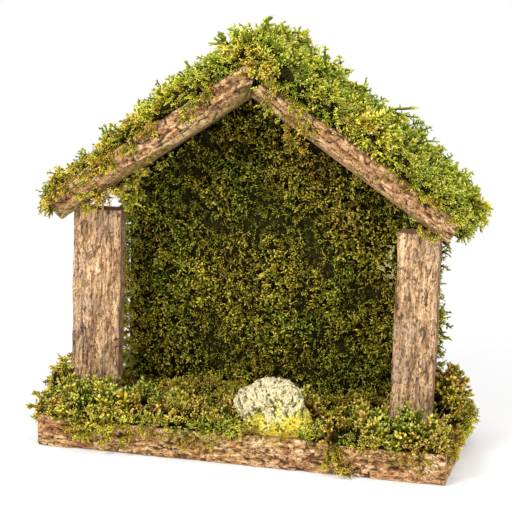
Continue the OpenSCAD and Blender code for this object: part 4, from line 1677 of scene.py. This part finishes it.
# The outline's sprigs: where each comes out of the moss, its x and z in mm, then its way in x and
# z, and how far it stands out in mm.
OUTLINE = (
    (-3, 295, 0.53, 0.85, 15), (-14, 292, -0.13, 0.99, 9), (-24, 289, -0.25, 0.97, 9),
    (-35, 284, -0.92, 0.39, 9), (-48, 266, -0.67, 0.75, 6), (-61, 261, -0.57, 0.82, 7),
    (-75, 248, -0.84, 0.55, 6), (-86, 237, -0.66, 0.75, 6), (-114, 219, -0.31, 0.95, 8),
    (-121, 209, -0.72, 0.7, 7), (-141, 196, -0.44, 0.9, 7), (-155, 177, -0.41, 0.91, 8),
    (-161, 169, -1, 0.02, 6), (-161, 167, -0.45, -0.9, 12), (10, 293, -0.2, 0.98, 9),
    (16, 292, 0.99, 0.15, 11), (21, 286, 1, -0.05, 10), (40, 277, -0.03, 1, 9),
    (48, 265, 0.95, 0.32, 7), (61, 258, 0.86, 0.51, 9), (65, 253, 0.97, -0.26, 7),
    (84, 244, 0.87, 0.49, 8), (95, 240, 0.95, -0.33, 9), (105, 232, 0.99, 0.15, 8),
    (114, 217, 0.97, -0.26, 5), (129, 202, 0.89, 0.45, 6), (143, 190, -0.24, 0.97, 7),
    (148, 181, 0.88, -0.48, 14), (148, 177, 0.46, -0.89, 18), (145, 167, 0.3, -0.95, 17),
    (138, 162, 0.13, -0.99, 8),
)


@dataclass
class MossWork:
    """All the moss: beds, planted layers, fringes, and sprigs that stand out at the outline.

    No sprig leaves the box from box_low to box_high: it is drawn in over box_soft at its sides.
    The tuft is of lichen and hangs by the right post.
    """

    sprigs: MossFinish = MossFinish("dried feather moss")
    low: MossFinish = MossFinish(
        "dried feather moss, ground",
        ("#161202", "#5a4f04", "#a29018", "#eadb72"),
        ("#101402", "#3f4604", "#737a10", "#cacf64"),
        ("#201204", "#68440a", "#a87c28", "#e6c47c"),
    )
    # A copy of the sprigs' colours, darker at foot and middle as painted shade under the roof, with
    # less straw.
    shaded: MossFinish = MossFinish(
        "dried feather moss, back wall, painted shade",
        ("#0b0901", "#332d02", "#857a10", "#f4e662"),
        ("#080901", "#262c02", "#67700c", "#d8dc5a"),
        ("#160e02", "#4a3606", "#94781c", "#e8ce68"),
        green_from=0.2,
        straw_from=0.62,
    )
    lichen: MossFinish = MossFinish(
        "dried reindeer lichen",
        ("#4e4826", "#988e54", "#d0c684", "#f6eebe"),
        ("#464622", "#888a4c", "#bcbc78", "#e8e6ae"),
        ("#544824", "#a08e54", "#d6c688", "#f6eabc"),
    )
    # The beds are dark brown and olive as painted shade of the gaps between the sprigs.
    soil: BedFinish = BedFinish("matted moss foot, painted shade", "#161507", "#383211")
    box_low: Triple = (-168.0, -74.5, 0.4)
    box_high: Triple = (159.0, 68.5, 303.0)
    box_soft: float = 3.0
    fringes: tuple[tuple[Any, ...], ...] = FRINGES
    standing: tuple[tuple[float, ...], ...] = OUTLINE
    tuft: Fringe = Fringe((95, -9, 124), (95, -12, 154), 18, (-0.7, -0.5, 0.2), 5.5, 331, 0.2, -1.0)
    left_pitch: float = LEFT_PITCH
    right_pitch: float = RIGHT_PITCH

    def mats(self) -> list[MossMat]:
        """Lists the mats.

        Returns:
            The mats, in the order they are made.
        """
        left_way, left_up = roof_ways(self.left_pitch, -1)
        right_way, right_up = roof_ways(self.right_pitch, 1)
        left_stop, right_stop = (
            ((-way[0], 0.0, -way[2]), level) for way, level in ((left_way, 30.0), (right_way, 26.0))
        )
        left_roof, right_roof = (
            Growth(dry, dry_front, -17.0, thin=0.8, least=0.8, heave=0.35, foot=foot, eave=eave)
            for dry, dry_front, foot, eave in (
                (-0.16, 0.38, (left_up[0], left_up[2], 219.0), (64.0, 100.0, 0.72)),
                (-0.24, 0.3, (right_up[0], right_up[2], 217.0), (122.0, 146.0, 0.7)),
            )
        )
        greens = (
            (-112.0, -48.0, 26.0, -0.3), (-60.0, -40.0, 22.0, -0.25), (112.0, -48.0, 26.0, -0.28),
            (142.0, -20.0, 26.0, 0.55), (-86.0, -52.0, 24.0, 0.0),
        )
        # Bare places where the dark bed shows, standing for bare floor and for painted shade beside
        # the stone.
        gaps = (
            (72.0, -24.0, 15.0), (89.0, -31.0, 13.0), (111.0, -27.0, 17.0), (127.0, -24.0, 12.0),
        )
        ground = Growth(
            0.12, 0.42, -60.0, 14.0, 1.9, 0.12, swing=0.5, shut=-0.95, heave=0.35, tuft=1.7,
            spots=greens, bare=gaps,
        )
        sparse = Growth(0.3, patch_mm=14.0, thin=2.2, heave=0.3)
        wall = Growth(0.02, patch_mm=22.0, thin=1.2, swing=0.5, shut=-0.3, heave=0.5, least=0.85)
        hung = Growth(0.42, thin=2.0, swing=0.4, heave=0.3)
        knotted = Growth(0.12, thin=2.0, heave=0.3)
        left_thatch, right_thatch = (
            (
                Planting(9.8, 6.3, (x, -0.15, -0.5), 0.5, 0.8, 0.35),
                Planting(13.5, 3.6, (x, -0.15, -0.5), 1.2, 0.7, 0.3),
            )
            for x in (-0.8, 0.8)
        )
        turf = (
            Planting(9.0, 3.2, (0, -0.2, 0.6), 0.6, 0.9, 0.4),
            Planting(13.5, 2.8, (0, -0.3, 0.8), 0.9, 0.8, 0.35, Stock.STOUT),
        )
        thin_turf = (Planting(7.0, 9.0, (0, -0.1, 1), 0.5, 0.9, 0.4, Stock.SHORT),)
        wall_turf = (
            Planting(7.9, 6.8, (0, -0.4, 0.1), 0.5, 1.0, 0.4, Stock.SHORT),
            Planting(11.5, 1.9, (0, -0.6, -0.2), 0.5, 0.8, 0.35),
        )
        drape = (Planting(7.5, 4.5, (0, 0.15, -0.7), 1.6, 1.3, 0.4),)
        wisp = (Planting(6.5, 2.6, (0, 0.15, -0.7), 1.6, 1.3, 0.4),)
        spray = (Planting(8.5, 9.0, (0, 0.1, -0.8), 1.4, 0.9, 0.4),)
        knot = (Planting(9.0, 9.0, (0, -0.4, 0.1), 0.4, 0.9, 0.4),)
        # dark is the copy of the sprigs' colours with painted shade.
        lit, dark, floor = self.sprigs, self.shaded, self.low
        rows: tuple[tuple[Any, ...], ...] = (
            (
                "roof_moss_left", left_up, 4.5, left_thatch, 11, left_roof, lit, False,
                left_stop, 0.3,
            ),
            (
                "roof_moss_right", right_up, 4.5, right_thatch, 12, right_roof, lit, False,
                right_stop, 0.4,
            ),
            ("back_moss", FRONT, 2.0, wall_turf, 13, wall, dark),
            ("ground_moss_front_left", UP, 6.5, turf, 14, ground, floor),
            ("ground_moss_front_centre", UP, 6.5, turf, 15, ground, floor),
            ("ground_moss_front_right", UP, 6.5, turf, 16, ground, floor),
            ("ground_moss_inner", UP, 2.0, thin_turf, 17, sparse, dark),
            ("ground_moss_left", UP, 6.5, turf, 18, ground, floor),
            ("ground_moss_right", UP, 6.5, turf, 19, ground, floor),
            ("ground_moss_rear", UP, 2.0, thin_turf, 20, sparse, lit),
            ("clump_left_post", UP, 4.0, knot, 21, hung, lit),
            ("clump_left_rafter", FRONT, 3.0, drape, 22, hung, lit, True),
            ("clump_left_roof", (0, 0, -1), 6.0, knot, 23, knotted, lit),
            ("clump_right_rafter", FRONT, 3.0, drape, 24, hung, lit, True),
            ("clump_front_left", FRONT, 3.0, drape, 25, hung, lit, True),
            ("clump_front_middle", FRONT, 3.0, spray, 26, hung, lit, True),
            ("clump_front_right", FRONT, 3.0, wisp, 27, hung, lit, True),
        )
        return [MossMat(*row) for row in rows]

    def outline(self) -> Array:
        """Sprigs that stand out at the photograph's outline of the roof.

        Each is rooted some way inside the moss. A shorter and lower one stands behind it.

        Returns:
            Rows as a fringe's.
        """
        rooted, rear_y, rear_drop = 9, 50, 8
        rng = np.random.default_rng(41)
        rows = []
        for x, z, dx, dz, length in self.standing:
            front_y = rng.uniform(0, 24) if x > 0 else rng.uniform(-8, 8)
            for y, size, rear in ((front_y, 1, 0), (rear_y, 0.6, 1)):
                way = np.array([dx, rng.normal(0, 0.15), dz])
                y_moved = y + rng.uniform(-8, 8) * rear
                foot = np.array([x, y_moved, z - rear_drop * rear]) - rooted * way
                rows.append([*foot, *way, size * length + rooted, rng.normal(-0.15, 0.12)])
        return np.array(rows)

    def planted_rows(
        self, name: str, rows: Array, sprigs: bpy.types.Collection, finish: bpy.types.Material
    ) -> None:
        """Plants one sprig for each row.

        Args:
            name: name of the piece.
            rows: rows as a fringe's.
            sprigs: what is planted.
            finish: the sprigs' material.
        """
        marks = {"way": rows[:, 3:6], "grow": rows[:, 6], "dry": rows[:, 7]}
        spots = make_object(name + "_feet", rows[:, :3] * MM, [], marks)
        planter = SprigField("sprigs on places", on_points=True)
        one_mm = Planting(1.0, 0.0, (0, 0, 0), lean_share=0.0, scatter=0.0, spread=0.1)
        piece = planter.plant(name, spots, one_mm.values(sprigs, 77, finish))
        bpy.data.objects.remove(spots)
        held_in(piece, self.box_low, self.box_high, self.box_soft)
        finish_piece(piece, Slot.MOSS, finish)

    def build(self) -> None:
        """Builds the beds and plants them."""
        fine, thick = SprigMaker(), SprigMaker(stem_r=0.072, branch_r=0.074, seed=8)
        few = [Habit.CORAL, Habit.FORK, Habit.CURL, Habit.FROND]
        stocks = {
            stock: maker.collection(stock.value, branches, habits)
            for stock, maker, branches, habits in (
                (Stock.LONG, fine, 10, list(Habit)),
                (Stock.SHORT, fine, 6, few),
                (Stock.STOUT, thick, 8, few),
            )
        }
        planter = SprigField()
        soil = self.soil.material()
        lit, low, shaded, pale = (
            finish.material() for finish in (self.sprigs, self.low, self.shaded, self.lichen)
        )
        finishes = {self.sprigs.name: lit, self.low.name: low, self.shaded.name: shaded}
        for mat in self.mats():
            bed, moss = mat.bed(soil), finishes[mat.sprigs.name]
            for number, layer in enumerate(mat.layers):
                values = layer.values(stocks[layer.stock], mat.seed * 10 + number, moss)
                piece = planter.plant(f"{mat.node}_sprigs_{number + 1}", bed, values)
                held_in(piece, self.box_low, self.box_high, self.box_soft)
                stands_for = [mat.node] if mat.loose and not number else []
                finish_piece(piece, Slot.MOSS, moss, *stands_for)
            if mat.loose:
                bpy.data.objects.remove(bed)
        full = stocks[Stock.LONG]
        hanging = np.concatenate([Fringe(*row).rows() for row in self.fringes])
        self.planted_rows("moss_fringes", hanging, full, lit)
        self.planted_rows("outline_sprigs", self.outline(), full, lit)
        self.planted_rows("lichen_tuft", self.tuft.rows(), full, pale)
        for stock in stocks.values():
            discard(stock)


# Stone


@dataclass
class StoneWork:
    """Stone: a squared lump that leans back, undercut on its left, flocked with coloured grit.

    The lump lies bed_mm under the grit. left, right and deep are the shares of its half width and
    half depth from its foot up.
    """

    width: float = 58
    depth: float = 26
    height: float = 38
    middle: Triple = (21.0, -49.0, 22.0)
    lean: float = 0.12
    grain: float = 2.4
    density: float = 34.0
    knob_mm: float = 8.5
    hollow_mm: float = 2.7
    dimple_mm: float = 1.9
    bed_mm: float = 1.2
    left: tuple[float, ...] = (0.38, 0.6, 0.78, 0.9, 0.99, 0.98, 0.92, 0.77, 0.5)
    right: tuple[float, ...] = (0.94, 1, 1, 0.95, 0.85, 0.78, 0.74, 0.67, 0.5)
    deep: tuple[float, ...] = (0.9, 1, 1, 0.97, 0.92, 0.86, 0.77, 0.64, 0.44)
    finish: GritFinish = GritFinish("dyed grit, glued on", (21.0, -49.0, 41.0), 29.0)

    def share(self, shares: Sequence[float], rise: Array) -> Array:
        """Half width of the lump as a share, rounded over at its crown.

        Args:
            shares: the share at each of the source's rings.
            rise: heights in 0 to 1.

        Returns:
            One share for each height.
        """
        rings = len(shares)
        places = np.arange(rings) / rings
        crown = np.clip((rise - places[-1]) * rings, 0, 1)
        return np.interp(rise, places, shares) * np.sqrt(1 - crown**2)

    def lump(self) -> bpy.types.Object:
        """Builds the lump under the grit, closed, with a flat foot.

        Returns:
            The lump, marked for planting.
        """
        rows, ring = 70, 150
        rise = (np.linspace(0, 1, rows + 1)[:-1] ** 0.9)[:, None]
        around = np.linspace(0, 2 * math.pi, ring + 1)[None, :-1]
        c, s = np.cos(around), np.sin(around)
        # Its corners are fuller than an ellipse's.
        across, out = (np.sign(part) * np.abs(part) ** 0.8 for part in (c, s))
        half = np.where(across < 0, self.share(self.left, rise), self.share(self.right, rise))
        x = self.width / 2 * half * across
        y = self.depth / 2 * self.share(self.deep, rise) * out + self.depth * self.lean * rise
        z = self.height * rise + 0 * x
        ends = [[0, self.depth * self.lean, self.height], [0, 0, 0]]
        places = np.concatenate([np.stack([x, y, z], -1).reshape(-1, 3), ends])
        knobs = lumps(places, self.knob_mm, 91, 3)
        # Most hollows lie in a band about half way up that rises to the right.
        level = (places[:, 2] - 0.12 * places[:, 0]) / self.height
        band = 0.26 * np.exp(-((level - 0.52) ** 2) / 0.03)
        hollows = ease(lumps(places, self.hollow_mm, 93, 3) + band, 0.24, 0.45)
        hollows = np.maximum(hollows, ease(lumps(places, self.dimple_mm, 95, 2), 0.3, 0.5))
        # The crown, above 0.97 of the height, keeps about a third of the relief.
        below = ease(places[:, 2], 0.97 * self.height, 0.8 * self.height)
        swelled = (1.4 * knobs - 1.3 * hollows) * (0.35 + 0.65 * below)
        ways = places - np.array([0, 0, 0.4 * self.height])
        ways = ways / np.linalg.norm(ways, axis=1, keepdims=True)
        free = ease(places[:, 2], 0.0, 2.5)[:, None]
        places = places + ways * (swelled[:, None] - self.bed_mm) * free
        number, quads = tube(rows, ring)
        first, last = (np.stack([row, np.roll(row, -1)], -1) for row in number[[0, -1]])
        top = np.column_stack([last, np.full(ring, rows * ring)])
        foot = np.column_stack([first[:, ::-1], np.full(ring, rows * ring + 1)])
        points = (places + np.array(self.middle)) * MM
        faces = turned_out(points - points.mean(0), quads, np.concatenate([top, foot]))
        cover = ease(places[:, 2], 0.2, 1.2)
        marks = {"cover": cover, "grow": 1 + 0 * cover, "dry": hollows, "kind": 0.3 + 0 * cover}
        return make_object("stone_lump", points, faces, marks)

    def grains(self) -> bpy.types.Collection:
        """Builds four grains of grit, each about 1 unit across and 20 faces.

        Returns:
            Their collection.
        """
        gold = (1 + 5**0.5) / 2
        corners = [(-1, gold, 0), (1, gold, 0), (-1, -gold, 0), (1, -gold, 0)]
        corners += [(0, a, b) for b in (gold, -gold) for a in (-1, 1)]
        corners += [(b, 0, a) for b in (gold, -gold) for a in (1, -1)]
        faces = [
            (0, 11, 5), (0, 5, 1), (0, 1, 7), (0, 7, 10), (0, 10, 11), (1, 5, 9), (5, 11, 4),
            (11, 10, 2), (10, 7, 6), (7, 1, 8), (3, 9, 4), (3, 4, 2), (3, 2, 6), (3, 6, 8),
            (3, 8, 9), (4, 9, 5), (2, 4, 11), (6, 2, 10), (8, 6, 7), (9, 8, 1),
        ]
        items = []
        for number in range(4):
            rng = np.random.default_rng(600 + number)
            size = rng.uniform(0.72, 1.15, (len(corners), 1)) * (1.0, 0.85, 0.8)
            points = np.array(corners, float) / 3.8 * size
            marks = {"tip": np.ones(len(corners))}
            items.append(make_object(f"grain_{number}", points, [np.array(faces)], marks))
        return gathered("grit", items)

    def build(self) -> None:
        """Builds the lump and flocks it."""
        finish = self.finish.material()
        lump, grit = self.lump(), self.grains()
        layer = Planting(
            self.grain, self.density, (0, 0, 0), lean_share=0.0, scatter=1.0, spread=0.4
        )
        planter = SprigField("grit on the stone")
        piece = planter.plant("stone_grit", lump, layer.values(grit, 71, finish))
        finish_piece(lump, Slot.STONE, finish, "stone")
        finish_piece(piece, Slot.STONE, finish)
        discard(grit)


# Wooden sub-assemblies


@dataclass
class BaseWork:
    """Base: a sawn board between four strips of bark, pinned on."""

    width: float = 290
    depth: float = 130
    height: float = 22
    strip: float = 6
    relief: BarkRelief = BarkRelief(9, 2.3, 1.3, 1.0, 0.45, wander=0.8, bold=1.2)
    bark: BarkFinish = BarkFinish(
        "split bark, base strip", "#f4d0a0", "#cea26c", "#a07444", "#684826", "#2c1a0c",
        blush="#b0744c", cut="#a98257", streak_mm=1.4, pit_mm=1.5, stretch=6.0,
    )
    board: BoardFinish = BoardFinish("sawn softwood, base", "#a9825a", "#7d5a3b", 2.2)

    def build(self) -> None:
        """Builds the strips and dresses the board."""
        x, y, t = self.width / 2, self.depth / 2, self.strip
        bark = self.bark.material()
        short = self.depth - 2 * t - 0.6
        rows = (
            ("front_bark_strip", (-x, t - y, 0), (1, 0, 0), FRONT, self.width, 15),
            ("rear_bark_strip", (x, y - t, 0), (-1, 0, 0), (0, 1, 0), self.width, 75),
            ("left_bark_strip", (t - x, short / 2, 0), (0, -1, 0), (-1, 0, 0), short, 135),
            ("right_bark_strip", (x - t, -short / 2, 0), (0, 1, 0), (1, 0, 0), short, 205),
        )
        for node, corner, along, out, length, seed in rows:
            place = Place(corner, along, UP, out)
            slab = BarkSlab(
                node, place, length, self.height, t, self.relief, seed, 0.1, 0.1,
                waney=0.5, round_mm=1.8,
            )
            slab.build(bark)
        dress_node("base_board", self.board.material())


@dataclass
class FrameWork:
    """Posts, back panel, roof panels and rafters."""

    ridge_x: float = -7.4
    ridge_z: float = 250.21
    left_pitch: float = LEFT_PITCH
    right_pitch: float = RIGHT_PITCH
    left_slope: float = 165.46
    right_slope: float = 168.51
    front_y: float = -18.0
    post_relief: BarkRelief = BarkRelief(
        34, 2.6, 1.3, 0.15, 0.1, wander=0.35, bold=0.75, pitted=1.7
    )
    left_relief: BarkRelief = BarkRelief(13, 3.4, 1.9, 0.8, 0.9, 0.2, bold=1.1)
    right_relief: BarkRelief = BarkRelief(12, 3.0, 1.8, 0.8, 0.8, -0.2, bold=1.1)
    post_bark: BarkFinish = BarkFinish(
        "split bark, posts", "#ecca9e", "#cea67c", "#ac855c", "#7a5a3a", "#3a2816",
        blush="#a68a76", cut="#7d6248", streak_mm=1.3, pit_mm=1.2, stretch=12.0,
    )
    rafter_bark: BarkFinish = BarkFinish(
        "split bark, rafters", "#ecc698", "#c69a6a", "#9c7044", "#664526", "#26180c",
        blush="#ae7c5c", cut="#8d6a4b", streak_mm=1.4, pit_mm=1.4, stretch=6.0,
    )
    back: BoardFinish = BoardFinish("sawn softwood, back panel", "#b08a5f", "#85613f", 2.6)
    roof: BoardFinish = BoardFinish("sawn softwood, roof", "#a37c55", "#76543a", 2.4)

    def roof_z(self, x: Array) -> Array:
        """Underside of the roof.

        Args:
            x: places in metres.

        Returns:
            Its height above each place, in metres.
        """
        left = self.ridge_z - (self.ridge_x - x / MM) * math.tan(math.radians(self.left_pitch))
        right = self.ridge_z - (x / MM - self.ridge_x) * math.tan(math.radians(self.right_pitch))
        return np.minimum(left, right) * MM

    def posts(self) -> None:
        """Builds the two posts."""
        across = (1.0, 0.0, 0.0)
        bark = self.post_bark.material()
        rows = (
            ("left_post", (-138, -2, 22), (2 / 141, 0.0, 1.0), 141, 35, 35),
            ("right_post", (97, -2, 22), (1 / 140, 0.0, 1.0), 140, 29, 95),
        )
        for node, corner, along, length, width, seed in rows:
            slab = BarkSlab(
                node, Place(corner, along, across, FRONT), length, width, 16, self.post_relief,
                seed, ceiling=self.roof_z, step_mm=0.6,
            )
            slab.build(bark)

    def rafters(self) -> None:
        """Builds the two rafters."""
        bark = self.rafter_bark.material()
        left_way, left_up = roof_ways(self.left_pitch, -1)
        right_way, right_up = roof_ways(self.right_pitch, 1)
        left_eave, right_eave = (
            (
                self.ridge_x - slope * way[0] + lift * up[0],
                self.front_y,
                self.ridge_z - slope * way[2] + lift * up[2],
            )
            for slope, way, up, lift in (
                (self.left_slope, left_way, left_up, 0),
                (self.right_slope, right_way, right_up, 2),
            )
        )
        BarkSlab(
            "rafter_left", Place(left_eave, left_way, left_up, FRONT), self.left_slope + 12, 20, 8,
            self.left_relief, 155, 0.5, 0.15, step_mm=0.6, end=EndCut.HACKED, algae=0.6,
        ).build(bark)
        BarkSlab(
            "rafter_right", Place(right_eave, right_way, right_up, FRONT), self.right_slope - 2,
            15.5, 8, self.right_relief, 245, 0.45, 0.15, 0.3, step_mm=0.6, algae=0.3,
        ).build(bark)

    def build(self) -> None:
        """Builds the bark slabs and dresses the boards and all the fastenings."""
        self.posts()
        self.rafters()
        dress_node("back_panel", self.back.material())
        roof, wire = self.roof.material(), WireFinish().material()
        for side in ("left", "right"):
            dress_node("roof_panel_" + side, roof)
            dress_node("roof_brads_" + side, wire)
        for node in ("strip_brads", "post_nails", "back_panel_nails", "rafter_brads"):
            dress_node(node, wire)


# Studio


@dataclass
class Studio:
    """Camera at the photograph's viewing angle, pale floor and soft light.

    The floor is a disc, its radii in metres, that turns to plain white between fade_from and
    fade_to. Each lamp has a place in metres, a size in metres and a power in watts.
    """

    where: Triple = (321.09, -1340.87, 444.66)
    azimuth: float = 13.680
    elevation: float = 12.679
    roll: float = 1.3206
    lens: float = 140.625
    sensor: float = 36.0
    paint: str = "#f6f6f6"
    inner_r: float = 0.5
    outer_r: float = 6.0
    fade_from: float = 0.16
    fade_to: float = 0.42
    room: float = 0.56
    aim: Triple = (0.0, 0.0, 0.13)
    lamps: tuple[tuple[str, Triple, float, float], ...] = (
        ("key", (-0.75, -1.25, 1.25), 0.9, 27.0),
        ("fill", (1.2, -1.1, 0.6), 0.9, 11.0),
        ("top", (0.1, 0.1, 1.6), 0.9, 10.0),
    )

    def camera(self) -> None:
        """Places the camera."""
        a, e, r = (math.radians(v) for v in (self.azimuth, self.elevation, self.roll))
        back = Vector((math.sin(a) * math.cos(e), -math.cos(a) * math.cos(e), math.sin(e)))
        side = Vector((math.cos(a), math.sin(a), 0))
        up = back.cross(side)
        right = math.cos(r) * side + math.sin(r) * up
        top = -math.sin(r) * side + math.cos(r) * up
        data = bpy.data.cameras.new("camera")
        data.sensor_width = self.sensor
        data.lens = self.lens
        camera = linked("camera", data)
        turn = Matrix((right, top, back)).transposed().to_4x4()
        camera.matrix_world = Matrix.Translation(Vector(self.where) * MM) @ turn
        bpy.context.scene.camera = camera

    @staticmethod
    def seen(add: Callable[..., Any], *rays: str) -> Any:
        """Adds the nodes that tell the camera's rays, and other kinds, from the rest.

        Args:
            add: adds a node to the tree.
            rays: outputs of the Light Path node that count as the camera's do.

        Returns:
            The socket or node whose value is 1 for those rays and 0 for the rest.
        """
        path = add("ShaderNodeLightPath", {}).outputs
        found: Any = path["Is Camera Ray"]
        for ray in rays:
            found = add("ShaderNodeMath", {0: found, 1: path[ray]}, operation="MAXIMUM")
        return found

    def floor(self) -> None:
        """Makes the pale floor, which turns to plain white away from the object."""
        material, shader, add = new_material("matt white table")
        place = add("ShaderNodeTexCoord", {}).outputs["Object"]
        far = add("ShaderNodeVectorMath", {0: place}, operation="LENGTH").outputs["Value"]
        edges = {0: far, 1: self.fade_from, 2: self.fade_to, 3: 0.3, 4: 1.0}
        seen = self.seen(add, "Is Glossy Ray")
        fade = add("ShaderNodeMapRange", edges)
        share = add("ShaderNodeMath", {0: seen, 1: fade}, operation="MULTIPLY")
        white = add("ShaderNodeEmission", {"Color": (1, 1, 1, 1), "Strength": 1.0})
        both = add("ShaderNodeMixShader", {0: share, 1: shader, 2: white})
        feed(material.node_tree.nodes["Material Output"], {"Surface": both})
        feed(shader, {"Base Color": shade(self.paint), "Roughness": 0.9, "Specular IOR Level": 0.1})
        corners = 64
        angle = np.linspace(0, 2 * math.pi, corners + 1)[:-1]
        ring = np.stack([np.cos(angle), np.sin(angle), 0 * angle], -1)
        points = np.concatenate([ring * self.outer_r, ring * self.inner_r, np.zeros((1, 3))])
        number, quads = tube(2, corners)
        middle = np.full(corners, 2 * corners)
        tris = np.stack([number[1], np.roll(number[1], -1), middle], -1)
        floor = make_object("floor", points, [quads, tris])
        floor.data.materials.append(material)

    def lights(self) -> None:
        """Hangs soft lamps round the object in a pale room."""
        world = bpy.data.worlds.new("pale room")
        bpy.context.scene.world = world
        world.use_nodes = True
        world.node_tree.nodes.clear()
        add = partial(add_node, world.node_tree)
        seen = self.seen(add, "Is Glossy Ray", "Is Transmission Ray")
        room, white = (
            add("ShaderNodeBackground", {"Color": (1, 1, 1, 1), "Strength": strength})
            for strength in (self.room, 1.0)
        )
        both = add("ShaderNodeMixShader", {0: seen, 1: room, 2: white})
        add("ShaderNodeOutputWorld", {0: both})
        for name, where, size, power in self.lamps:
            data = bpy.data.lights.new(name, "AREA")
            data.shape = "DISK"
            data.size = size
            data.energy = power
            lamp = linked(name, data)
            lamp.location = where
            way = Vector(self.aim) - Vector(where)
            lamp.rotation_euler = way.to_track_quat("-Z", "Y").to_euler()

    def build(self) -> None:
        """Sets up the whole studio."""
        self.camera()
        self.floor()
        self.lights()
        bpy.context.scene.view_settings.view_transform = "Standard"


def flat(bounds: Any) -> list[list[float]]:
    """Turns bounds into plain lists of numbers.

    Args:
        bounds: the lowest and the highest corner.

    Returns:
        The same as lists.
    """
    return [[float(c) for c in corner] for corner in bounds]


def main() -> None:
    logging.basicConfig(level=logging.INFO, format="%(message)s")
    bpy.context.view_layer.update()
    BaseWork().build()
    FrameWork().build()
    StoneWork().build()
    MossWork().build()
    Studio().build()


if __name__ == "__main__":
    main()
